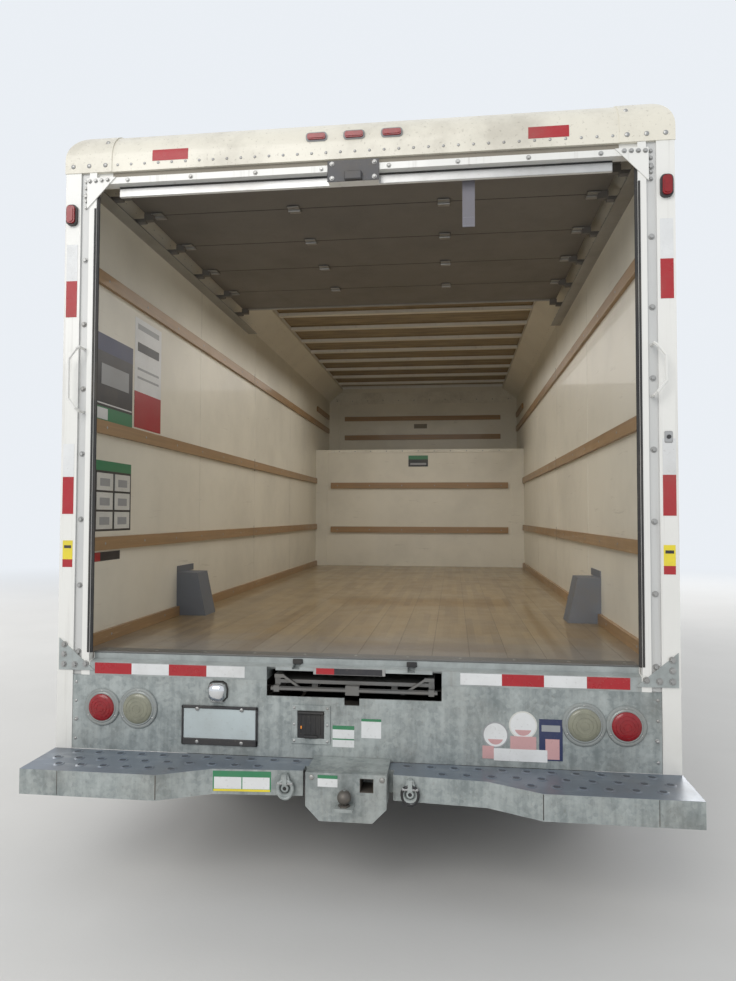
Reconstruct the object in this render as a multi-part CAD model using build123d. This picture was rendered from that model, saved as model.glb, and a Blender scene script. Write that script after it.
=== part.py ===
"""A box truck with a van front: ladder frame, cab with doors and hood, and a moving box with an attic.

Stations are in millimetres: x to the right, y forward from the rear face of the box, z up from the ground.
Everything is moved along y at the end, so that the origin is on the ground under the middle of the truck.
"""

from build123d import *
from math import cos, pi, radians, sin
import os

os.makedirs("parts", exist_ok=True)

# Box body
inner_half = 1168.5
wall_thick = 58.0
post_proud = 6.5
deck_top = 889.0
deck_thick = 32.0
box_inside_length = 5226.5
front_wall_thick = 50.0
attic_floor_top = 2200.0
attic_floor_thick = 50.0
attic_inside_end = 6100.0
nose_thick = 50.0
roof_top = 3100.0
roof_radius = 150.0
roof_skin = 8.0
rail_foot = roof_top - 203.0
cove_reach = 168.0
cove_rise = 143.0
bow_pitch = 430.0
bow_width = 46.0
bow_depth = 34.0
first_bow = 610.0
skirt_bottom = 520.0
skirt_thick = 24.0
skirt_arch_gap = 150.0

# Rear frame
post_bottom = 499.0
post_top = rail_foot
post_depth = 62.0
jamb_depth = 30.0
opening_half = inner_half - 72.5
groove_outer = opening_half + 69.0
groove_inner = opening_half + 32.0
groove_deep = 9.0
header_low = post_top - 52.0
header_high = post_top - 25.0
header_deep = 46.0
header_lip = post_top - 95.0
header_lip_half = opening_half - 86.0
cap_seam = opening_half - 66.0
cap_proud = 3.0
sill_low = 800.0
sill_deep = 110.0
sill_step_low = 862.0
sill_step_back = 40.0
panel_half = opening_half + 68.0
panel_thick = 6.0
slot_half = 347.0
slot_low = 739.0
slot_high = 841.0
notch = 36.0
hook_hole_x = 229.0
latch_notch_low = 711.0
gusset_thick = 5.0

# Step bumper and hitch
bumper_top = 499.0
bumper_face = 94.0
bumper_plate = 6.0
bumper_overhang = 2.0
bumper_reach = 245.0
kink_outer = 700.0
kink_inner = 513.0
kink_reach = 155.0
middle_reach = 130.0
hitch_half = 150.0
hitch_low = 337.0
hitch_high = 512.0
hitch_thick = 12.0
hitch_gap = 18.0
hitch_chamfer = 52.0
receiver_inner = 50.8
receiver_wall = 6.0
receiver_x = 77.0
receiver_z = 472.0
receiver_length = 180.0
receiver_pin_radius = 8.0
ball_radius = 25.4
ball_z = 440.0
shackle_x = 234.0
shackle_z = 445.0
shackle_ring = 34.0
shackle_rod = 7.0

# Rolling gear
tyre_radius = 372.0
tyre_width = 222.0
rim_radius = 206.0
rim_width = 165.0
rim_wall = 12.0
hand_holes = 8
hub_radius = 66.0
spindle_radius = 30.0
bearing_gap = 0.3
front_axle_y = 6790.0
rear_axle_y = 1475.0
front_wheel_x = 880.0
kingpin_x = 770.0
rear_outer_x = 1075.0
dual_spacing = 262.0
arch_radius = 468.0
steer_limit = 33.0

# Ladder frame
rail_half = 430.0
rail_web = 8.0
rail_flange = 70.0
rail_low = 560.0
rail_high = 724.0
rail_rear = 30.0
member_width = 60.0
member_low = 612.0
tower_half = 450.0
coil_x = 500.0
arm_thick = 28.0
arm_eye = 36.0
cross_member_stations = (60.0, 946.0, 1832.0, 2719.0, 3605.0, 4491.0, 5378.0, 7190.0)
cab_mount_stations = (5460.0, 6080.0)

# Cab
cab_half = 1012.0
cab_back = 5322.0
cab_low = 470.0
cab_top = 2085.0
cab_wall = 55.0
cab_roof_wall = 34.0
cab_floor_top = 800.0
cab_floor_thick = 30.0
nose_y = 7500.0
nose_low = 560.0
hood_lead_z = 1100.0
cowl_y = 6935.0
cowl_z = 1290.0
header_y = 6330.0
header_z = 2010.0
belt_z = 1250.0
roof_half = 820.0
firewall_y = 6830.0
door_rear_y = 5440.0
door_front_y = 6414.0
door_low = 500.0
door_high = 1965.0
door_gap = 6.0
door_swing_gap = 6.0
door_rear_bevel = 26.0
door_limit = 68.0
knuckle_radius = 9.0
glass_thick = 5.0
hood_half = 640.0
hood_thick = 22.0
hood_rear_y = 6965.0
hood_margin = 60.0
hood_limit = 50.0
hinge_gap = 0.3

# Ramp
ramp_half = 318.0
ramp_low = 757.0
ramp_high = 823.0
ramp_length = 3150.0
ramp_rear = 25.0
runner_end = 3200.0

# Stowed door
door_panel_thick = 16.0
door_top_z = roof_top - 184.0
door_panel_length = 396.0
door_panels = 5
door_first_y = 8.0
door_half = inner_half - 96.5
roller_radius = 15.0
first_roller_y = 190.0
track_depth = 51.0
track_wall = 5.0
track_end = 2480.0

# Pull strap
strap_x = 455.0
strap_width = 50.0
strap_thick = 5.0
strap_low = door_top_z - 294.0

# Running gear details
spindle_arm = 36.0
lower_arm_z = 292.0
upper_arm_z = 500.0
kingpin_radius = 14.0
axle_end = 1040.0
spring_x = 560.0
spring_leaf = 9.0
spring_half_length = 700.0
spring_camber = 60.0
gearbox_rear = 5650.0
gearbox_z = 560.0
gearbox_half = 150.0
gearbox_low = 480.0
gearbox_top = 760.0
engine_half = 250.0
engine_rear = 6250.0
engine_front = 7080.0
engine_low = 500.0
engine_top = 1010.0
tunnel_gap = 20.0
tunnel_wall = 30.0
outrigger_pitch = 406.0
outrigger_first = 164.0

# Nose and cab fittings
grille_half = 440.0
grille_low = 750.0
grille_high = 985.0
grille_bars = 6
lamp_inner = 470.0
lamp_outer = 760.0
lamp_low = 770.0
lamp_high = 965.0
flare_wide = 26.0
flare_proud = 8.0
hinge_heights = (850.0, 1130.0)
hood_hinge_x = 500.0
hood_hinge_half = 14.0
wheel_x = -480.0
column_lean = 35.0
slat_thick = 19.0
front_post_inner = inner_half - 128.5
post_stand = 22.0
post_seat = 10.0

kick_high = 52.0
arch_box_rear = 1108.0
arch_box_length = 165.0
arch_box_top = 1130.0
arch_box_reach = 172.0
arch_box_top_reach = 120.0
arch_flange_length = 245.0
arch_flange_high = 36.0
lamp_bezel_proud = 4.0
lens_proud = 8.0
lamp_depth = 34.0
header_lamp_xs = (-158, -4, 149)
header_lamp_z = roof_top - 107.0
post_lamp_top = post_top - 142.0
# name, x, z, hole radius, lens radius
lamp_table = (
    ("tail left", -panel_half + 129, 672, 74, 55),
    ("tail right", panel_half - 129, 672, 74, 55),
    ("reverse left", -panel_half + 283, 671, 80, 62),
    ("reverse right", panel_half - 283, 671, 80, 62),
)

# Numbers of flat sides on round pieces
wheel_sides = 24
ring_sides = 16
bar_sides = 6

# Front bumper
front_bumper_proud = 75.0
front_bumper_low = 440.0
front_bumper_high = 640.0
front_bumper_thick = 12.0

clear = 0.3

inner_front = box_inside_length
outer_front = inner_front + front_wall_thick
outer_half = inner_half + wall_thick
post_half = outer_half + post_proud
bumper_half = post_half + bumper_overhang
front_reach = nose_y + front_bumper_proud
rear_reach = bumper_reach
frame_front = nose_y - 210
hood_front_y = nose_y - hood_margin
attic_end = attic_inside_end + nose_thick
shift_y = -(front_reach - rear_reach) / 2


def block(x_low, x_high, y_low, y_high, z_low, z_high):
    """A box between two corners."""
    size = (x_high - x_low, y_high - y_low, z_high - z_low)
    middle = ((x_low + x_high) / 2, (y_low + y_high) / 2, (z_low + z_high) / 2)
    return Pos(*middle) * Box(*size)


def along_x(points, x_low, x_high):
    """An outline of (y, z) points, extruded from x_low to x_high."""
    face = make_face(Polyline([(x_low, y, z) for y, z in points], close=True))
    return extrude(face, amount=x_high - x_low, dir=(1, 0, 0))


def along_y(points, y_low, y_high):
    """An outline of (x, z) points, extruded from y_low to y_high."""
    face = make_face(Polyline([(x, y_low, z) for x, z in points], close=True))
    return extrude(face, amount=y_high - y_low, dir=(0, 1, 0))


def along_z(points, z_low, z_high):
    """An outline of (x, y) points, extruded from z_low to z_high."""
    face = make_face(Polyline([(x, y, z_low) for x, y in points], close=True))
    return extrude(face, amount=z_high - z_low, dir=(0, 0, 1))


def rounded(rows, place):
    """Face inside a closed outline of (across, up, corner radius) rows, put in space by place(across, up)."""
    points = [place(across, up) for across, up, _ in rows]
    outline = FilletPolyline(*points, radius=[radius for _, _, radius in rows], close=True)
    return make_face(outline.edges())


def rod(start, end, radius):
    """A round bar from one point to another."""
    start = Vector(*start)
    run = Vector(*end) - start
    return Plane(origin=start, z_dir=run) * Cylinder(radius, run.length, align=(Align.CENTER, Align.CENTER, Align.MIN))


def flat_rod(start, end, radius, sides=bar_sides):
    """A bar with flat sides from one point to another."""
    start = Vector(*start)
    run = Vector(*end) - start
    return extrude(Plane(origin=start, z_dir=run) * RegularPolygon(radius, sides), amount=run.length)


def flat_ring(plane, points, sides):
    """A body with flat sides about a plane's z axis, from (height, radius) points round its section."""
    corners = []
    for step in range(sides):
        turn = 2 * pi * step / sides
        corners.append([plane.from_local_coords((r * cos(turn), r * sin(turn), h)) for h, r in points])
    faces = []
    for step in range(sides):
        here, there = corners[step], corners[(step + 1) % sides]
        for row in range(len(points)):
            ahead = (row + 1) % len(points)
            outline = [here[row], there[row], there[ahead], here[ahead]]
            if points[row][1] == 0:
                outline.pop(1)
            if points[ahead][1] == 0:
                outline.pop()
            if len(outline) > 2:
                faces.append(make_face(Polyline(*outline, close=True)))
    return Solid(Shell(faces))


def wheel_plane(x, y):
    """Plane across a wheel's axle, turned so that a corner of a flat ring points down."""
    return Plane(origin=(x, y, tyre_radius), x_dir=(0, 0, -1), z_dir=(1, 0, 0))


def mirrored(shape):
    """The same shape on the other side of the truck."""
    return mirror(shape, about=Plane.YZ)


def both(shape):
    """A shape and its mirror image as a list."""
    return [shape, mirrored(shape)]


def fuse(first, *rest):
    """One shape made of all the given ones."""
    shape = first
    for other in rest:
        shape = shape + other
    return shape


def save(node, *shapes):
    """Writes one node, moved so that the origin is under the middle of the truck."""
    solids = []
    for shape in shapes:
        solids.extend(shape.solids())
    moved = [Pos(0, shift_y, 0) * solid for solid in solids]
    export_step(moved[0] if len(moved) == 1 else Compound(children=moved), f"parts/{node}.step")


def bent_bar(points, radius, sides=bar_sides):
    """A flat-sided bar along straight runs that meet in mitres."""
    path = Polyline(*points)
    section = Plane(origin=path @ 0, z_dir=path % 0) * RegularPolygon(radius, sides)
    return sweep(section, path=path, transition=Transition.RIGHT)


# Box: floor, walls, roof


def make_deck():
    """Planked load floor with a steel threshold at its rear edge."""
    low, high = deck_top - deck_thick - 1, deck_top + 1
    edge = inner_half - slat_thick
    planks = block(-edge, edge, sill_deep, inner_front, deck_top - deck_thick, deck_top)
    for beside_sill in both(block(opening_half, edge, jamb_depth, sill_deep, deck_top - deck_thick, deck_top)):
        planks += beside_sill
    post = block(front_post_inner, edge + 1, inner_front - post_stand, inner_front + 1, low, high)
    box = block(inner_half - arch_box_reach, edge + 1, arch_box_rear, arch_box_rear + arch_box_length, low, high)
    for cut in (post, box):
        planks = planks - cut - mirrored(cut)
    save("deck", planks)


def arch_cut(x_low, x_high, axle_y, radius):
    """A round bar of space round an axle, for wheel arches."""
    return rod((x_low, axle_y, tyre_radius), (x_high, axle_y, tyre_radius), radius)


def make_side_walls():
    """Side walls with the skirt below the floor, cut for the rear wheels."""
    top = rail_foot
    low = attic_floor_top - attic_floor_thick
    upper = along_x(
        [
            (post_depth, deck_top - deck_thick),
            (outer_front, deck_top - deck_thick),
            (outer_front, low),
            (attic_inside_end, low),
            (attic_inside_end, top),
            (post_depth, top),
        ],
        inner_half,
        outer_half,
    )
    skirt = block(outer_half - skirt_thick, outer_half, post_depth, outer_front, skirt_bottom, deck_top - deck_thick)
    skirt -= arch_cut(inner_half, outer_half + 1, rear_axle_y, tyre_radius + skirt_arch_gap)
    rub_rail = block(outer_half, outer_half + post_proud, post_depth, outer_front, deck_top - 60, deck_top + 30)
    wall = fuse(upper, skirt, rub_rail)
    save("side_wall_right", wall)
    save("side_wall_left", mirrored(wall))


def make_front_wall():
    """Lower front wall with the attic floor, and the corner posts at its ends."""
    low = attic_floor_top - attic_floor_thick
    section = [
        (inner_front, deck_top - deck_thick),
        (outer_front, deck_top - deck_thick),
        (outer_front, low),
        (attic_inside_end, low),
        (attic_inside_end, attic_floor_top),
        (inner_front, attic_floor_top),
    ]
    wall = along_x(section, -inner_half, inner_half)
    foot = deck_top - deck_thick
    post = block(front_post_inner, inner_half, inner_front - post_stand, inner_front, foot, attic_floor_top)
    seat_rear = attic_inside_end - post_stand
    seat_low = attic_floor_top - post_seat
    seat = block(front_post_inner, inner_half + 1, seat_rear, attic_inside_end + 1, seat_low, attic_floor_top + 1)
    save("front_wall", fuse(wall, *both(post)) - seat - mirrored(seat))


def roof_outline(y, low):
    """Face across the truck at one station, with the rounded upper corners of the box."""
    arc_low = roof_top - roof_radius
    arc_x = outer_half - roof_radius
    lean = roof_radius * sin(radians(45))
    with BuildSketch(Plane(origin=(0, y, 0), x_dir=(1, 0, 0), z_dir=(0, -1, 0))) as sketch:
        with BuildLine():
            Polyline((-outer_half, arc_low), (-outer_half, low), (outer_half, low), (outer_half, arc_low))
            ThreePointArc((outer_half, arc_low), (arc_x + lean, arc_low + lean), (arc_x, roof_top))
            Line((arc_x, roof_top), (-arc_x, roof_top))
            ThreePointArc((-arc_x, roof_top), (-arc_x - lean, arc_low + lean), (-outer_half, arc_low))
        make_face()
    return sketch.sketch


def make_attic_nose():
    """Front of the attic with rounded edges and its own inside posts."""
    low = attic_floor_top - attic_floor_thick
    body = extrude(roof_outline(attic_inside_end, low), amount=-nose_thick)
    rim = body.faces().sort_by(Axis.Y)[-1].edges().sort_by(Axis.Z)[1:]
    body = fillet(rim, nose_thick - 8)
    foot = attic_floor_top - post_seat
    post = block(front_post_inner, inner_half, attic_inside_end - post_stand, attic_inside_end, foot, rail_foot)
    save("attic_nose", fuse(body, *both(post)))


def rail_section(y_low, y_high):
    """Top rail of one side: round outside, sloped cove inside."""
    arc_low = roof_top - roof_radius
    centre_x = outer_half - roof_radius
    mid = (centre_x + roof_radius * cos(radians(45)), arc_low + roof_radius * sin(radians(45)))
    with BuildPart() as rail:
        with BuildSketch(Plane(origin=(0, y_low, 0), x_dir=(1, 0, 0), z_dir=(0, -1, 0))):
            with BuildLine():
                Polyline((inner_half, rail_foot), (outer_half, rail_foot), (outer_half, arc_low))
                ThreePointArc((outer_half, arc_low), mid, (centre_x, roof_top))
                Polyline(
                    (centre_x, roof_top),
                    (inner_half - cove_reach, roof_top),
                    (inner_half - cove_reach, rail_foot + cove_rise),
                    (inner_half, rail_foot),
                )
            make_face()
        extrude(amount=-(y_high - y_low))
    return rail.part


def make_roof():
    """Roof skin, its two top rails and the bows under it, in one piece."""
    start = roof_radius
    rail = rail_section(start, attic_inside_end)
    edge = inner_half - cove_reach
    skin = block(-edge, edge, start, attic_inside_end, roof_top - roof_skin, roof_top)
    shape = fuse(skin, *both(rail))
    count = int((attic_inside_end - first_bow) // bow_pitch)
    for step in range(count + 1):
        y = first_bow + step * bow_pitch
        shape += block(-edge, edge, y, y + bow_width, roof_top - roof_skin - bow_depth, roof_top - roof_skin)
    save("roof", shape)


def make_slats():
    """Wooden rub slats on the walls and the kick boards at the floor."""
    # name, low z, high z, first y, last y
    side_rows = (
        ("top", 2482, 2541, 40, 5980),
        ("middle", 1818, 1877, 40, 5190),
        ("bottom", 1299, 1358, 40, 5190),
        ("attic", 2655, 2710, 5230, 5980),
    )
    # name, low z, high z, half length, wall y
    end_rows = (
        ("front middle", 1762, 1828, 996, inner_front),
        ("front low", 1262, 1330, 996, inner_front),
        ("attic high", 2648, 2702, 972, attic_inside_end),
        ("attic low", 2408, 2468, 972, attic_inside_end),
    )
    solids = []
    for _, low, high, first, last in side_rows:
        solids += both(block(inner_half - slat_thick, inner_half, first, last, low, high))
    for _, low, high, half, wall in end_rows:
        solids.append(block(-half, half, wall - slat_thick, wall, low, high))
    kick_low = deck_top - deck_thick
    kick_end = inner_front - post_stand
    wall = inner_half - slat_thick
    for first, last in ((jamb_depth, arch_box_rear), (arch_box_rear + arch_box_length, kick_end)):
        solids += both(block(wall, inner_half, first, last, kick_low, deck_top + kick_high))
    save("slats", *solids)


def make_arch_boxes():
    """Short tapered boxes over the wheel clearance, at the foot of each side wall."""
    outline = [
        (inner_half, deck_top - deck_thick),
        (inner_half, arch_box_top),
        (inner_half - arch_box_top_reach, arch_box_top),
        (inner_half - arch_box_reach, deck_top),
        (inner_half - arch_box_reach, deck_top - deck_thick),
    ]
    box = along_y(outline, arch_box_rear, arch_box_rear + arch_box_length)
    flange_end = arch_box_rear + arch_flange_length
    box += block(inner_half - 6, inner_half, arch_box_rear, flange_end, arch_box_top - 1, arch_box_top + arch_flange_high)
    save("arch_boxes", *both(box))


# Rear frame


def make_rear_frame():
    """Rear posts, inner header, sill and corner gussets, with the ramp slot cut through the sill."""
    post = along_z(
        [
            (opening_half, 0),
            (groove_inner, 0),
            (groove_inner, groove_deep),
            (groove_outer, groove_deep),
            (groove_outer, 0),
            (post_half, 0),
            (post_half, post_depth),
            (inner_half, post_depth),
            (inner_half, jamb_depth),
            (opening_half, jamb_depth),
        ],
        post_bottom,
        post_top,
    )
    post -= block(opening_half - 1, panel_half + 1, -1, jamb_depth + 1, post_bottom - 1, sill_low)
    header = block(-opening_half, opening_half, 0, header_deep, header_low, post_top)
    header -= block(-opening_half, opening_half, 0, 14, header_high, post_top)
    lip = block(-header_lip_half, header_lip_half, header_deep - 12, header_deep, header_lip, header_low)
    sill = along_x(
        [
            (0, sill_low),
            (0, sill_step_low - 8),
            (sill_step_back, sill_step_low),
            (sill_step_back, deck_top - 6),
            (sill_deep, deck_top),
            (sill_deep, sill_low),
        ],
        -opening_half,
        opening_half,
    )
    slot = along_y(
        [
            (-slot_half, slot_low),
            (slot_half, slot_low),
            (slot_half, slot_high),
            (-slot_half, slot_high),
        ],
        -1,
        sill_deep + 1,
    )
    sill -= slot
    for side in (-1, 1):
        corner_x = side * (slot_half - notch / 2)
        sill -= block(corner_x - notch / 2, corner_x + notch / 2, -1, 30, slot_high - 1, slot_high + 13)
        hook_x = side * hook_hole_x
        sill -= block(hook_x - 15, hook_x + 15, -1, sill_step_back + 8, sill_step_low - 16, deck_top - 14)
    latch = block(-108, 96, -6, header_deep, header_lip, header_high + 12)
    handles = []
    # name, side, foot z, other foot z
    for _, side, low_z, high_z in (("left", -1, 1885, 2150), ("right", 1, 1913, 2108)):
        x, bow, foot = side * (opening_half + 46), side * (opening_half + 84), groove_deep + 2
        lower = [(x, foot, low_z), (x, -34, low_z), (x + side * 8, -46, low_z + 10), (bow, -48, low_z + 50)]
        upper = [(bow, -48, high_z - 50), (x + side * 8, -46, high_z - 10), (x, -34, high_z), (x, foot, high_z)]
        handles.append(bent_bar(lower + upper, 6, 6))
    gussets = []
    # name, inner x, outer x, tip z, corner z
    for _, inner_x, outer_x, tip_z, corner_z in (
        ("upper", opening_half - 84, opening_half + 40, post_top - 155, header_high),
        ("lower", opening_half - 26, post_half - 9, deck_top + 60, sill_low + 20),
    ):
        plate = along_y([(outer_x, corner_z), (inner_x, corner_z), (outer_x, tip_z)], -gusset_thick, 0)
        gussets += both(plate)
    save("rear_frame", fuse(post, mirrored(post), header, lip, sill, latch, *gussets, *handles))


def make_roof_header():
    """Quarter-round cap along the rear edge of the roof."""
    arc_low = roof_top - roof_radius
    middle = (roof_radius - roof_radius * cos(radians(45)), arc_low + roof_radius * sin(radians(45)))
    with BuildPart() as cap:
        with BuildSketch(Plane(origin=(-cap_seam, 0, 0), x_dir=(0, 1, 0), z_dir=(1, 0, 0))):
            with BuildLine():
                Polyline((0, post_top), (0, arc_low))
                ThreePointArc((0, arc_low), middle, (roof_radius, roof_top))
                Polyline(
                    (roof_radius, roof_top),
                    (roof_radius, roof_top - roof_skin - bow_depth),
                    (60, roof_top - 110),
                    (40, post_top),
                    (0, post_top),
                )
            make_face()
        extrude(amount=2 * cap_seam)
    save("roof_header", cap.part)


def make_corner_caps():
    """Cast caps over the two upper rear corners."""
    body = block(cap_seam, post_half + cap_proud, -cap_proud, roof_radius, post_top, roof_top + cap_proud)
    side = body.edges().filter_by(Axis.Y).group_by(Axis.Z)[-1].sort_by(Axis.X)[-1]
    rear = body.edges().filter_by(Axis.X).group_by(Axis.Z)[-1].sort_by(Axis.Y)[0]
    body = fillet([side, rear], roof_radius)
    hollow = block(cap_seam - 1, inner_half - 40, header_deep, roof_radius + 1, post_top - 1, roof_top - 60)
    save("corner_caps", *both(body - hollow))


def make_rear_panel():
    """Galvanised panel under the sill, with the lamp holes and the ramp slot."""
    panel = block(-panel_half, panel_half, 2, 2 + panel_thick, bumper_top + 1, sill_low)
    panel -= block(-slot_half, slot_half, 0, 30, slot_low, sill_low + 1)
    panel -= block(-34, 26, 0, 30, latch_notch_low, slot_low + 1)
    panel += block(-panel_half, panel_half, 2, 60, bumper_top + 1, bumper_top + 1 + panel_thick)
    for lamp in lamp_table:
        _, x, z, hole = lamp[:4]
        panel -= flat_rod((x, 0, z), (x, 30, z), hole, ring_sides)
    save("rear_panel", panel)


def make_rear_lamps():
    """Round tail and reverse lamps in their bezels, marker lamps on posts and header, and the plate lamp."""
    solids = []
    for _, x, z, hole, lens in lamp_table:
        body = flat_rod((x, -lamp_bezel_proud, z), (x, lamp_depth, z), hole - clear, ring_sides)
        body += flat_rod((x, -lamp_bezel_proud - lens_proud, z), (x, -lamp_bezel_proud, z), lens, ring_sides)
        solids.append(body)
    crown = roof_top - roof_radius
    seat = rod((-header_lamp_xs[-1] - 100, roof_radius, crown), (header_lamp_xs[-1] + 100, roof_radius, crown), roof_radius)
    for x in header_lamp_xs:
        solids.append(block(x - 38, x + 38, -8, 14, header_lamp_z - 13, header_lamp_z + 13) - seat)
    for x in (-post_half + 33, post_half - 33):
        solids.append(block(x - 22, x + 22, -14, 0, post_lamp_top - 78, post_lamp_top))
    solids.append(block(-586, -506, -34, 2, 712, 786))
    save("rear_lamps", *solids)


def bumper_outline(offset=0.0):
    """Plan of one half of the step, from the middle outward."""
    return [
        (hitch_half + 20, -middle_reach - offset),
        (kink_inner, -kink_reach - offset),
        (kink_outer, -bumper_reach - offset),
        (bumper_half, -bumper_reach - offset),
        (bumper_half, 0),
        (hitch_half + 20, 0),
    ]


def make_step_bumper():
    """Galvanised step bumper: a tread plate with a folded face and stays, and the safety-chain rings."""
    outline = bumper_outline()
    low = bumper_top - bumper_face
    tread = along_z(outline, bumper_top - bumper_plate, bumper_top)
    rim = [(x, y) for x, y in outline[:4]]
    face = None
    for (x0, y0), (x1, y1) in zip(rim, rim[1:]):
        piece = along_z(
            [(x0, y0), (x1, y1), (x1, y1 + bumper_plate), (x0, y0 + bumper_plate)], low, bumper_top
        )
        face = piece if face is None else face + piece
    end = block(bumper_half - bumper_plate, bumper_half, -bumper_reach, 0, low, bumper_top)
    stays = None
    for x in (360, 620, 1100):
        stay = along_x([(-2, bumper_top), (-2, low), (-middle_reach + 10, low + 40), (-middle_reach + 10, bumper_top)], x, x + 8)
        stays = stay if stays is None else stays + stay
    half = fuse(tread, face, end, stays)
    link = along_x([(-2, low + 10), (-2, bumper_top), (-80, bumper_top), (-80, low + 10)], -hitch_half - 20, hitch_half + 20)
    lugs = []
    for side in (-1, 1):
        x = side * shackle_x
        y = -middle_reach - 4
        eye = block(x - 8, x + 8, y - 26, y, shackle_z + 6, shackle_z + 46)
        eye -= flat_rod((x - 9, y - 15, shackle_z + 26), (x + 9, y - 15, shackle_z + 26), 9)
        lugs.append(eye)
    arm = block(rail_half - 54, rail_half - 10, -40, 160, bumper_top - 50, bumper_top)
    arm += block(rail_half - 54, rail_half - 10, 70, 160, bumper_top - 50, rail_low)
    body = fuse(half, mirrored(half), link, arm, mirrored(arm), *lugs)
    rings = []
    for side in (-1, 1):
        x = side * shackle_x
        y = -middle_reach - 4 - 15
        hung = Plane(origin=(x, y, shackle_z + 26 - shackle_ring + 1), x_dir=(0, 0, -1), z_dir=(0, 1, 0))
        section = []
        for step in range(6):
            turn = radians(60 * step + 30)
            section.append((shackle_rod * cos(turn), shackle_ring - shackle_rod + shackle_rod * sin(turn)))
        rings.append(flat_ring(hung, section, 14))
    save("step_bumper", body, *rings)


def make_hitch():
    """Hitch plate with a ball and a square receiver."""
    rear = -middle_reach - hitch_gap - hitch_thick - 20
    front = rear + hitch_thick
    plate = along_y(
        [
            (-hitch_half, hitch_high),
            (hitch_half, hitch_high),
            (hitch_half, hitch_low + hitch_chamfer),
            (hitch_half - hitch_chamfer, hitch_low),
            (-hitch_half + hitch_chamfer, hitch_low),
            (-hitch_half, hitch_low + hitch_chamfer),
        ],
        rear,
        front,
    )
    top = block(-hitch_half, hitch_half, rear, -2, bumper_top + clear, hitch_high)
    cheek = along_x([(front, hitch_low + 60), (-80 - clear, hitch_low + 60), (-80 - clear, hitch_high), (front, hitch_high)], -hitch_half, -hitch_half + 10)
    outer = receiver_inner / 2 + receiver_wall
    inner = receiver_inner / 2
    x, z = receiver_x, receiver_z
    tube = block(x - outer, x + outer, front, rear + receiver_length - 110, z - outer, min(z + outer, hitch_high))
    hole = block(x - inner, x + inner, rear - 1, rear + receiver_length, z - inner, z + inner)
    body = fuse(plate, top, cheek, mirrored(cheek), tube) - hole
    pin_y = front + 34
    body -= flat_rod((x - outer - 1, pin_y, z), (x + outer + 1, pin_y, z), receiver_pin_radius, 12)
    shelf = block(-34, 34, rear - 62, rear + 1, ball_z - ball_radius - 18, ball_z - ball_radius - 6)
    neck = flat_rod((0, rear - 34, ball_z - ball_radius - 8), (0, rear - 34, ball_z), 12)
    turns = [radians(22.5 * step) for step in range(1, 8)]
    section = [(-ball_radius, 0), *[(-ball_radius * cos(turn), ball_radius * sin(turn)) for turn in turns], (ball_radius, 0)]
    ball = flat_ring(Plane.XY.offset(ball_z).move(Location((0, rear - 34, 0))), section, 16)
    save("hitch", fuse(body, shelf, neck, ball))


# Chassis


def make_frame():
    """Ladder frame: two channel rails, cross members, cab mounts, and the front suspension with its arms."""
    web = block(rail_half - rail_web, rail_half, rail_rear, frame_front, rail_low, rail_high)
    low = block(rail_half - rail_flange, rail_half, rail_rear, frame_front, rail_low, rail_low + rail_web)
    top = block(rail_half - rail_flange, rail_half, rail_rear, frame_front, rail_high - rail_web, rail_high)
    solids = both(fuse(web, low, top))
    reach = rail_half - rail_web
    for y in cross_member_stations:
        solids.append(block(-reach, reach, y, y + member_width, member_low, rail_high - 24))
    mount_x = rail_half - 40
    for y in cab_mount_stations:
        solids += both(flat_rod((mount_x, y, rail_high), (mount_x, y, cab_floor_top - cab_floor_thick), 34))
    y = front_axle_y
    side = block(rail_half - 30, tower_half, y - 150, y + 150, 360, rail_low)
    side += block(rail_half, tower_half, y - 150, y + 150, rail_low - 1, rail_high)
    side += block(rail_half - rail_flange, rail_half, y - 70, y + 70, 460, rail_low)
    arm_end = kingpin_x - spindle_arm
    for z in (lower_arm_z, upper_arm_z):
        plan = [(rail_half - 40, y - 150), (arm_end, y - 26), (kingpin_x, y - 26)]
        plan += [(x, 2 * y - other) for x, other in reversed(plan)]
        arm = along_z(plan, z - arm_thick / 2, z + arm_thick / 2)
        arm += flat_rod((kingpin_x, y, z - arm_eye / 2), (kingpin_x, y, z + arm_eye / 2), 30, 12)
        arm -= rod((kingpin_x, y, z - arm_eye), (kingpin_x, y, z + arm_eye), kingpin_radius + bearing_gap)
        side = fuse(side, arm)
    side += flat_rod((coil_x, y, lower_arm_z), (coil_x, y, upper_arm_z), 46, 12)
    beam = block(-tower_half, tower_half, y - 70, y + 70, 380, 470)
    solids.append(fuse(beam, side, mirrored(side)))
    save("frame", *solids)


def make_knuckles():
    """Steering knuckles: kingpin, upright and wheel spindle."""
    x, y = kingpin_x, front_axle_y
    pin = rod((x, y, lower_arm_z - 30), (x, y, upper_arm_z + 30), kingpin_radius)
    upright = flat_rod((x, y, lower_arm_z + 18 + clear), (x, y, upper_arm_z - 18 - clear), 34, 12)
    spindle = rod((x, y, tyre_radius), (front_wheel_x + 62, y, tyre_radius), spindle_radius)
    flange = flat_rod((x, y, tyre_radius), (x + 36, y, tyre_radius), 54, 12)
    knuckle = fuse(pin, upright, spindle, flange)
    save("knuckle_right", knuckle)
    save("knuckle_left", mirrored(knuckle))


def tyre_ring(x, y):
    """One tyre on its bead seats."""
    half = tyre_width / 2
    seat = rim_width / 2
    section = [
        (-seat, rim_radius + clear),
        (-half, rim_radius + 82),
        (-half + 14, tyre_radius - 16),
        (-half + 34, tyre_radius),
        (half - 34, tyre_radius),
        (half - 14, tyre_radius - 16),
        (half, rim_radius + 82),
        (seat, rim_radius + clear),
    ]
    return flat_ring(wheel_plane(x, y), section, wheel_sides)


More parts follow.
